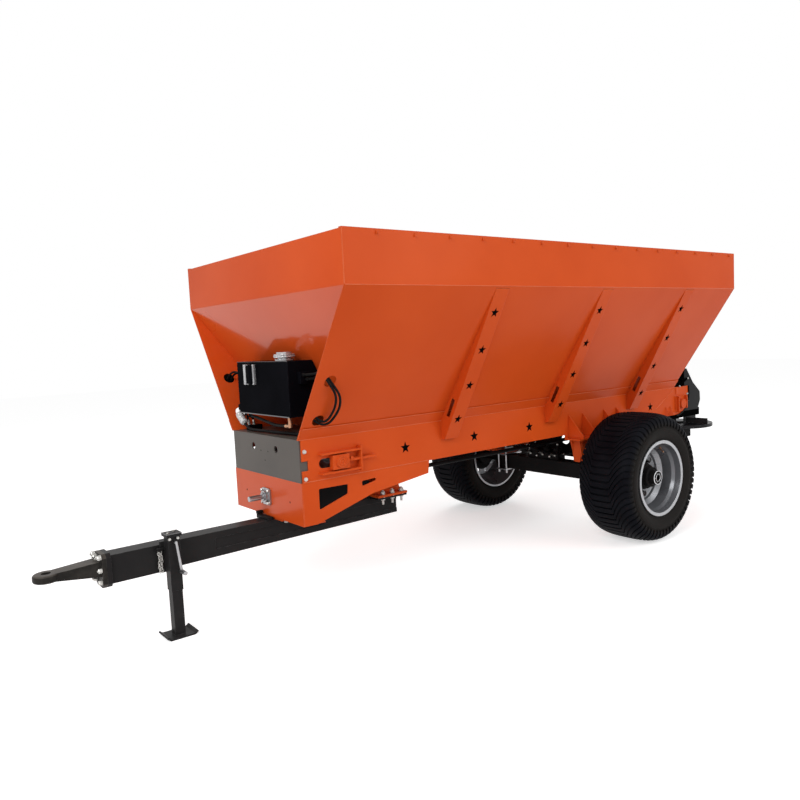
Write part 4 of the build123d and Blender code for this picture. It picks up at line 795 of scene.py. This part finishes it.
# Chain tensioners: rings on the bearing cap, nut and thread on the screw
tension = {
    "x": 1.3655, "face": 0.507, "z": 0.941, "rings": ((0.0330, 0.0036, 0.0, 36), (0.0185, 0.0030, 0.0005, 28)),
    "screwY": 0.477, "screwZ": 0.9480, "nutX": 1.2900, "nutAcross": 0.030, "nutHeight": 0.018,
    "threadFrom": 1.272, "threadStep": 0.0125, "threadTurns": 14, "threadRadius": 0.0088,
}


def makeTensionTrim():
    trim = tension
    shape = bmesh.new()
    for side in (1, -1):
        face = Vector((trim["x"], side * trim["face"], trim["z"]))
        outward = Vector((0, side, 0))
        for radius, tube, lift, segments in trim["rings"]:
            addLoop(shape, radius, tube, facing(face + outward * lift, outward), segments, tubeSegments=8)
        addRod(shape, face - outward * 0.002, face + outward * 0.0035, 0.0055, segments=14, round=0.001)
        y = side * trim["screwY"]
        addHexBolt(shape, (trim["nutX"], y, trim["screwZ"]), (-1, 0, 0), trim["nutAcross"], trim["nutHeight"])
        for step in range(trim["threadTurns"]):
            turn = (trim["threadFrom"] - trim["threadStep"] * step, y, trim["screwZ"])
            addLoop(shape, trim["threadRadius"], 0.0018, facing(turn, (1, 0, 0)), segments=14, tubeSegments=6)
    finishPiece("tensioner_trim", shape, "orangePaint")


makeTensionTrim()
print("tensioners dressed")


# Oil tank: sight gauge, filler cap, and grey edge strips that paint highlight lines along its top and foot
tankTrim = {
    "glass": ((1.6250, -0.1660, 1.4380), (1.6540, -0.0970, 1.5600)),
    "guards": (((1.6510, -0.1920, 1.4320), (1.6600, -0.1640, 1.5660)),
               ((1.6250, -0.0980, 1.4320), (1.6440, -0.0800, 1.5660))),
    "guardBolts": ((1.6600, -0.1780, 1.444), (1.6600, -0.1780, 1.554)), "cap": (1.5535, 0.190, 1.583),
    "capRings": ((0.0560, 0.0060, 0.0060), (0.0640, 0.0045, 0.0250), (0.0640, 0.0045, 0.0400)),
    "capRibs": 26, "ribRing": 0.0655, "capBolts": 6, "boltRing": 0.0560,
    "topHighlightStrip": ((1.6260, -0.350, 1.582), (1.6260, 0.350, 1.582), 0.0013),
    "footHighlightStrip": ((1.6260, -0.350, 1.2335), (1.6345, 0.350, 1.2405), 0.001),
}


def makeTankTrim():
    trim = tankTrim
    shape = bmesh.new()
    addBlock(shape, *trim["glass"], 0.002)
    finishPiece("gauge_window", shape, "tankPaint")
    shape = bmesh.new()
    for guard in trim["guards"]:
        addBlock(shape, *guard, 0.002)
    for x, y, z in trim["guardBolts"]:
        addRod(shape, (x, y, z), (x + 0.0035, y, z), 0.0055, segments=14, round=0.001)
    finishPiece("gauge_guards", shape, "capSteel")
    shape = bmesh.new()
    x, y, z = trim["cap"]
    for radius, tube, lift in trim["capRings"]:
        addLoop(shape, radius, tube, facing((x, y, z + lift), (0, 0, 1)), segments=40)
    for step in range(trim["capRibs"]):
        turn = math.tau * step / trim["capRibs"]
        ribX, ribY = x + trim["ribRing"] * math.cos(turn), y + trim["ribRing"] * math.sin(turn)
        addRod(shape, (ribX, ribY, z + 0.025), (ribX, ribY, z + 0.040), 0.0028, segments=8)
    for step in range(trim["capBolts"]):
        turn = math.tau * (step + 0.5) / trim["capBolts"]
        foot = (x + trim["boltRing"] * math.cos(turn), y + trim["boltRing"] * math.sin(turn), z + 0.010)
        addHexBolt(shape, foot, (0, 0, 1), 0.008, 0.005, washer=False)
    finishPiece("cap_rings", shape, "capSteel")
    # Grey strips on the tank's top and foot edges: painted highlight lines
    shape = bmesh.new()
    addRod(shape, *trim["topHighlightStrip"], segments=8)
    addBlock(shape, *trim["footHighlightStrip"])
    finishPiece("tank_edges", shape, "slideSteel")


makeTankTrim()
print("tank dressed")


# Hose fittings: valve blocks, return filter, elbow and ferrules
fittings = {
    "blocks": (((1.4705, 0.335, 1.103), (1.5655, 0.395, 1.138)), ((1.4955, 0.350, 1.440), (1.5605, 0.385, 1.515))),
    "tankPort": (((1.5955, -0.256, 1.236), (1.5955, -0.256, 1.204), 0.013),
                 ((1.5955, -0.256, 1.213), (1.5955, -0.240, 1.212), 0.012)),
    "filterHead": ((1.5805, -0.3850, 1.250), (1.6205, -0.3495, 1.290)),
    "filterNeck": ((1.6005, -0.3750, 1.2600), (1.6005, -0.4120, 1.1980)),
    "bowl": ((1.6005, -0.4250, 1.2180), (1.6005, -0.3450, 1.1600)), "bowlRadius": 0.0250,
    "bowlBands": (0.018, 0.052, 0.080), "ferruleHex": 0.0125, "ferruleRadius": 0.0098,
    "lowerEnds": ((1.5175, 0.375, 1.1383), (1.5535, 0.376, 1.1383)),
    "upperEnds": ((1.5395, 0.3853, 1.495), (1.5155, 0.3853, 1.468)),
    "grommet": (1.5375, -0.6960, 1.4590), "holeShadeWay": (0, 0.831, 0.556), "holeShadeRadius": 0.0396,
    # Start, end, radius, sides and rounding of each length of the elbow
    "elbow": (((1.5955, 0.290, 1.236), (1.5955, 0.290, 1.212), 0.0160, 6, 0.0),
              ((1.5955, 0.290, 1.216), (1.5955, 0.290, 1.166), 0.0135, 20, 0.002),
              ((1.5955, 0.292, 1.178), (1.5955, 0.256, 1.176), 0.0140, 6, 0.0),
              ((1.5955, 0.262, 1.1765), (1.5955, 0.228, 1.1735), 0.0125, 18, 0.002),
              ((1.5955, 0.2397, 1.174), (1.5955, 0.2520, 1.175), 0.0140, 18, 0.001)),
}


def addFerrule(shape, place, way, below, hexTop, sleeveTop):
    # Hexagon and round sleeve of one hose end
    foot, way = Vector(place), Vector(way)
    addRod(shape, foot - way * below, foot + way * hexTop, fittings["ferruleHex"], segments=6)
    addRod(shape, foot + way * hexTop, foot + way * sleeveTop, fittings["ferruleRadius"], segments=16, round=0.0015)


def makeFittings():
    trim = fittings
    shape = bmesh.new()
    for (x0, y0, z0), (x1, y1, z1) in trim["blocks"]:
        addBlock(shape, (x0, y0, z0), (x1, y1, z1), 0.003)
        addBlock(shape, (x0, -y1, z0), (x1, -y0, z1), 0.003)
    for length in trim["tankPort"]:
        addRod(shape, *length, segments=18, round=0.002)
    addBlock(shape, *trim["filterHead"], 0.003)
    # The valve blocks take the black tank finish: painted shade, as they sit in shadow beside the tank
    blocks = finishPiece("valve_blocks", shape, "tankPaint")
    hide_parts("hose_fittings")
    shape = bmesh.new()
    addRod(shape, *trim["filterNeck"], 0.014, segments=24, round=0.002)
    addRod(shape, *trim["bowl"], trim["bowlRadius"], segments=28, round=0.006)
    finishPiece("return_filter", shape, "filterPaint")
    shape = bmesh.new()
    bowlTop, bowlFoot = Vector(trim["bowl"][0]), Vector(trim["bowl"][1])
    way = (bowlFoot - bowlTop).normalized()
    for reach in trim["bowlBands"]:
        addLoop(shape, trim["bowlRadius"] + 0.0002, 0.0022, facing(bowlTop + way * reach, way), segments=28,
                tubeSegments=8)
    addRod(shape, bowlFoot, bowlFoot + way * 0.012, 0.014, segments=6)
    for place in bothSides(trim["lowerEnds"]):
        addFerrule(shape, place, (0, 0, 1), 0.004, 0.007, 0.034)
    finishPiece("hose_ferrules", shape, "zincBolts")
    # The upper hose ends take the black rubber finish rather than zinc: painted shade, as they sit in shadow by the
    # valve blocks
    shape = bmesh.new()
    for x, y, z in bothSides(trim["upperEnds"]):
        addFerrule(shape, (x, y, z), (0, math.copysign(1, y), 0), 0.003, 0.008, 0.036)
    finishPiece("hose_sleeves", shape, "hoseRubber")
    # Black disc with a rolled rim that fills the right-hand hole round its hoses: painted shade for the dark inside of
    # the hole
    shape = bmesh.new()
    centre, way = Vector(trim["grommet"]), Vector(trim["holeShadeWay"])
    addRod(shape, centre - way * 0.004, centre + way * 0.003, trim["holeShadeRadius"], segments=40, round=0.001)
    addLoop(shape, trim["holeShadeRadius"], 0.003, facing(centre + way * 0.003, way), segments=40, tubeSegments=8)
    finishPiece("hole_grommet", shape, "shadeBlack")
    shape = bmesh.new()
    for start, end, radius, sides, rounding in trim["elbow"]:
        addRod(shape, start, end, radius, segments=sides, round=rounding)
    finishPiece("tank_elbow", shape, "brass")


makeFittings()
print("hose fittings made")


# Drawbar: nuts round the eye, jack head, chain, its clamp and the clamp at the front box
hitch = {
    "flangeX": 2.7215, "nutAcross": 0.026, "nutHeight": 0.017, "studHeight": 0.026,
    "nuts": ((0.062, 0.544), (0.062, 0.470), (0.053, 0.400), (0.030, 0.535), (-0.062, 0.544), (-0.062, 0.470),
             (-0.053, 0.400), (-0.030, 0.535)),
    "jackBolts": (((2.3604, 0.157, 0.5907), (2.3604, 0.132, 0.618)), ((2.3110, 0.157, 0.5903), (2.3110, 0.092, 0.618))),
    "jackAcross": 0.014, "jackHead": (2.2855, 0.067, 2.3755, 0.157, 0.618),
    "chainX": (2.3900, 2.4040), "chainY": 0.0850, "chainTop": 0.520, "chainFoot": 0.375, "link": 0.0190,
    "pitch": 0.01368, "wire": 0.0024, "sway": 0.004,
    "clamps": (((2.3750, 0.0760, 0.5150), (2.4180, 0.1000, 0.5330), 0.003),
               ((1.6400, -0.0950, 0.5470), (1.6800, 0.0700, 0.5720), 0.004),
               ((1.6420, -0.0920, 0.5740), (1.6840, -0.0640, 0.5960), 0.004)),
}


def makeHitch():
    trim = hitch
    shape = bmesh.new()
    x = trim["flangeX"]
    for y, z in trim["nuts"]:
        addHexBolt(shape, (x, y, z), (1, 0, 0), trim["nutAcross"], trim["nutHeight"])
        addRod(shape, (x + trim["nutHeight"], y, z), (x + trim["studHeight"], y, z), 0.007, segments=12, round=0.001)
    for sideBolt, topBolt in trim["jackBolts"]:
        addHexBolt(shape, sideBolt, (0, 1, 0), trim["jackAcross"], 0.008)
        addHexBolt(shape, topBolt, (0, 0, 1), trim["jackAcross"], 0.006)
    finishPiece("hitch_bolts", shape, "zincBolts")
    # Two strands of links, every second one turned a quarter
    shape = bmesh.new()
    quarter = math.radians(90)
    flat = Matrix.Rotation(quarter, 4, "Y") @ Matrix.Rotation(quarter, 4, "Z") @ Matrix.Diagonal((0.62, 1, 1, 1))
    for strand, x in enumerate(trim["chainX"]):
        for step in range(int((trim["chainTop"] - trim["chainFoot"]) / trim["pitch"])):
            z = trim["chainTop"] - step * trim["pitch"] - strand * 0.006
            sway = trim["sway"] * math.sin(step * 1.1 + strand)
            place = Matrix.Translation((x + sway, trim["chainY"] + sway, z))
            turn = Matrix.Rotation(quarter if step % 2 else 0, 4, "Z")
            addLoop(shape, trim["link"] * 0.5, trim["wire"], place @ turn @ flat, segments=14, tubeSegments=6)
    finishPiece("safety_chain", shape, "paleZinc")
    shape = bmesh.new()
    for clamp in trim["clamps"]:
        addBlock(shape, *clamp)
    finishPiece("drawbar_clamp", shape, "blackPaint")
    shape = bmesh.new()
    x0, y0, x1, y1, z = trim["jackHead"]
    for start, end in (((x0, y1, z), (x1, y1, z)), ((x1, y1, z), (x1, y0, z)), ((x0, y1, z), (x0, y0, z))):
        addRod(shape, start, end, 0.0020, segments=8)
    finishPiece("jack_head_edges", shape, "slideSteel")


makeHitch()
print("hitch dressed")


# Rear end: gussets, tabs, straps, bolts, and the chute under the hood in near-black, which paints the shade there
rear = {
    "gussets": (-2.312, -2.385), "gussetY": 0.462, "gussetTop": 0.928, "gussetFoot": 0.845, "gussetRadius": 0.034,
    "tab": ((-2.520, 0.457, 1.032), (-2.480, 0.462, 1.096)),
    "bolts": ((-2.687, 0.457, 1.027), (-2.692, 0.457, 0.960), (-2.640, 0.457, 0.894), (-2.393, 0.457, 0.856)),
    "strap": ((-2.545, 0.4600, 1.108), (-2.688, 0.4600, 1.176)), "strapRadius": 0.009,
    "chuteShadeX": (-2.925, -2.560), "chuteShadeY": (0.441, 0.446), "chuteShadeZ": (0.800, 0.872), "chuteShadeWall": 0.005,
    "sideFoot": (-2.3600, 0.838), "keel": ((-2.925, -0.003, 0.742), (-2.600, 0.003, 0.872)),
    "pin": ((-2.7085, 0.457, 1.050), (-2.7085, 0.457, 1.102)), "pinRadius": 0.0080,
}


def addPair(shape, low, high, bevel):
    # A block on the left and its mirror image on the right
    addBlock(shape, low, high, bevel)
    addBlock(shape, (low[0], -high[1], low[2]), (high[0], -low[1], high[2]), bevel)


def makeRear():
    trim = rear
    shape = bmesh.new()
    for x in trim["gussets"]:
        for y in (trim["gussetY"], -trim["gussetY"]):
            addRod(shape, (x, y, trim["gussetFoot"]), (x, y, trim["gussetTop"]), trim["gussetRadius"], segments=3,
                   endRadius=0.003)
    addPair(shape, *trim["tab"], 0.001)
    finishPiece("rear_gussets", shape, "orangePaint")
    straps = [[(x, side * y, z) for x, y, z in trim["strap"]] for side in (1, -1)]
    shape = bmesh.new()
    for x, y, z in bothSides(trim["bolts"]):
        addHexBolt(shape, (x, y, z), (0, y, 0), 0.016, 0.008)
    for start, end in straps:
        out = Vector((0, math.copysign(1, end[1]), 0))
        addRod(shape, end, Vector(end) + out * 0.012, 0.010, segments=6)
        addRod(shape, start, Vector(start) + out * 0.010, 0.008, segments=6)
    finishPiece("rear_bolts", shape, "zincBolts")
    # The chute plates, straps, end wall, keel and pins take the near-black shade finish: painted shade under the hood
    shape = bmesh.new()
    (x0, x1), (inner, outer), (z0, z1) = trim["chuteShadeX"], trim["chuteShadeY"], trim["chuteShadeZ"]
    addPair(shape, (x0, inner, z0), (x1, outer, z1), 0.001)
    addPair(shape, (x1, inner, z0 - 0.004), (trim["sideFoot"][0], outer, trim["sideFoot"][1]), 0.001)
    for start, end in straps:
        addRod(shape, start, end, trim["strapRadius"], segments=10)
    addBlock(shape, (x0, -outer, z0), (x0 + trim["chuteShadeWall"], outer, z1), 0.001)
    addBlock(shape, *trim["keel"], 0.001)
    for side in (1, -1):
        foot, top = [(x, side * y, z) for x, y, z in trim["pin"]]
        addRod(shape, foot, top, trim["pinRadius"], segments=10, round=0.002)
    finishPiece("rear_chute", shape, "shadeBlack")


makeRear()
print("rear end dressed")


# Brake and oil lines over the axle, with their valve block
under = {
    "block": ((-1.2450, -0.230, 0.5500), (-1.1450, 0.120, 0.6150)), "coilX": -1.195, "coilY": (-0.17, -0.03, 0.08),
    "coilBase": (0.030, 0.025), "coilZ": (0.612, 0.655, 0.680, 0.690), "coilRadius": 0.016,
    "bolts": ((-1.146, -0.190, 0.588), (-1.146, -0.120, 0.575), (-1.146, -0.050, 0.590), (-1.146, 0.030, 0.578),
              (-1.146, 0.090, 0.592)),
    "lineRadius": 0.0065, "nutRadius": 0.0095,
    "lines": (
        ((-1.130, -0.200, 0.600), (-1.040, -0.210, 0.640), (-0.900, -0.230, 0.700), (-0.700, -0.300, 0.790)),
        ((-1.130, -0.060, 0.605), (-1.020, -0.080, 0.660), (-0.860, -0.160, 0.730), (-0.640, -0.320, 0.805)),
        ((-1.130, 0.070, 0.600), (-1.000, 0.060, 0.650), (-0.800, -0.020, 0.735), (-0.560, -0.240, 0.825)),
        ((-1.200, 0.130, 0.600), (-1.200, 0.330, 0.640), (-1.210, 0.520, 0.600), (-1.200, 0.680, 0.570)),
        ((-1.200, -0.240, 0.600), (-1.200, -0.360, 0.640), (-1.210, -0.540, 0.600), (-1.200, -0.680, 0.570)),
    ),
}


def makeUnder():
    trim = under
    x, (halfX, halfY), (foot, shoulder, top, tip) = trim["coilX"], trim["coilBase"], trim["coilZ"]
    shape = bmesh.new()
    addBlock(shape, *trim["block"], 0.004)
    for y in trim["coilY"]:
        addBlock(shape, (x - halfX, y - halfY, foot), (x + halfX, y + halfY, shoulder), 0.004)
        addRod(shape, (x, y, shoulder - 0.005), (x, y, top), trim["coilRadius"], segments=16, round=0.003)
    for line in trim["lines"]:
        for start, end in zip(line, line[1:]):
            addRod(shape, start, end, trim["lineRadius"], segments=10, round=0.0015)
    finishPiece("axle_valves", shape, "blackPaint")
    shape = bmesh.new()
    for place in trim["bolts"]:
        addHexBolt(shape, place, (1, 0, 0), 0.013, 0.009)
    for line in trim["lines"]:
        start = Vector(line[0])
        way = (Vector(line[1]) - start).normalized()
        addRod(shape, start - way * 0.012, start + way * 0.022, trim["nutRadius"], segments=6)
    for y in trim["coilY"]:
        addRod(shape, (x, y, top - 0.002), (x, y, tip), 0.010, segments=6)
    finishPiece("axle_valve_bolts", shape, "zincBolts")


makeUnder()
print("underside dressed")


# Power shaft under the floor: bare tube between flanged couplings
shaftTrim = {
    "height": 0.7, "from": 1.5855, "to": -2.3145, "tube": 0.0165, "couplings": (1.470, 0.655, -0.960, -2.200),
    "sleeve": 0.0235, "sleeveHalf": 0.045, "flange": 0.0245, "flangeX": (-0.050, 0.050), "flangeHalf": 0.006,
    "boltRing": 0.0185, "boltX": 0.056,
}


def addLength(shape, start, end, radius, rounding=0.0):
    # A round length on the shaft's line
    height = shaftTrim["height"]
    addRod(shape, (start, 0, height), (end, 0, height), radius, segments=28, round=rounding)


def makeShaft():
    trim = shaftTrim
    shape = bmesh.new()
    addLength(shape, trim["from"], trim["to"], trim["tube"])
    for x in trim["couplings"]:
        addLength(shape, x - trim["sleeveHalf"], x + trim["sleeveHalf"], trim["sleeve"], 0.003)
        for reach in trim["flangeX"]:
            addLength(shape, x + reach - trim["flangeHalf"], x + reach + trim["flangeHalf"], trim["flange"], 0.002)
    shaft = finishPiece("shaft_tube", shape, "blackPaint", "power_shaft")
    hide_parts("driveline")
    shape = bmesh.new()
    for x in trim["couplings"]:
        for step in range(4):
            turn = math.tau * (step + 0.5) / 4
            y, z = trim["boltRing"] * math.cos(turn), trim["height"] + trim["boltRing"] * math.sin(turn)
            addHexBolt(shape, (x + trim["boltX"], y, z), (1, 0, 0), 0.009, 0.005, washer=False)
    finishPiece("shaft_bolts", shape, "zincBolts", "power_shaft")


makeShaft()
print("shaft dressed")


# Floor, light and background
studio = {
    "floorSize": 60.0, "floorColour": (0.86, 0.86, 0.86), "floorGlow": 0.55, "worldLight": 0.50,
    "lamps": [
        {"name": "key", "place": (7.5, 3.5, 6.0), "aim": (0.2, 0.4, 1.0), "size": 5.0, "watts": 400},
        {"name": "side", "place": (-3.0, 8.0, 4.5), "aim": (-0.5, 0.5, 1.2), "size": 6.0, "watts": 230},
        {"name": "back", "place": (-6.0, -6.0, 5.0), "aim": (0.0, 0.0, 1.0), "size": 5.0, "watts": 220},
    ],
}


def raysOf(tree, *kinds):
    # 1 for rays of these kinds, 0 for the light on the object
    rays = addNode(tree, "ShaderNodeLightPath")
    seen = rays.outputs[kinds[0]]
    for kind in kinds[1:]:
        either = addNode(tree, "ShaderNodeMath", operation="MAXIMUM")
        tree.links.new(seen, either.inputs[0])
        tree.links.new(rays.outputs[kind], either.inputs[1])
        seen = either.outputs["Value"]
    return seen


def makeFloor():
    shape = bmesh.new()
    bmesh.ops.create_grid(shape, x_segments=1, y_segments=1, size=studio["floorSize"] / 2)
    mesh = bpy.data.meshes.new("floor")
    shape.to_mesh(mesh)
    shape.free()
    addObject("floor", mesh)
    pale = bpy.data.materials.new("paleFloor")
    pale.use_nodes = True
    tree = pale.node_tree
    shader = tree.nodes["Principled BSDF"]
    for label, value in (("Base Color", (*studio["floorColour"], 1)), ("Roughness", 0.9),
                         ("Specular IOR Level", 0.0), ("Emission Color", (1, 1, 1, 1))):
        shader.inputs[label].default_value = value
    glow = addNode(tree, "ShaderNodeMath", {1: studio["floorGlow"]}, operation="MULTIPLY")
    tree.links.new(raysOf(tree, "Is Camera Ray", "Is Glossy Ray"), glow.inputs[0])
    tree.links.new(glow.outputs["Value"], shader.inputs["Emission Strength"])
    mesh.materials.append(pale)


def makeLight():
    world = bpy.data.worlds.new("studioWorld")
    scene.world = world
    world.use_nodes = True
    tree = world.node_tree
    background = tree.nodes["Background"]
    background.inputs["Color"].default_value = (1, 1, 1, 1)
    level = addNode(tree, "ShaderNodeMapRange", {"To Min": studio["worldLight"], "To Max": 1.0})
    tree.links.new(raysOf(tree, "Is Camera Ray", "Is Glossy Ray", "Is Transmission Ray"), level.inputs["Value"])
    tree.links.new(level.outputs["Result"], background.inputs["Strength"])
    for lamp in studio["lamps"]:
        data = bpy.data.lights.new(lamp["name"], "AREA")
        data.shape = "DISK"
        data.size = lamp["size"]
        data.energy = lamp["watts"]
        light = addObject(lamp["name"], data)
        gap = Vector(lamp["aim"]) - Vector(lamp["place"])
        light.location = lamp["place"]
        light.rotation_euler = gap.to_track_quat("-Z", "Y").to_euler()


makeFloor()
makeLight()
print("studio made")
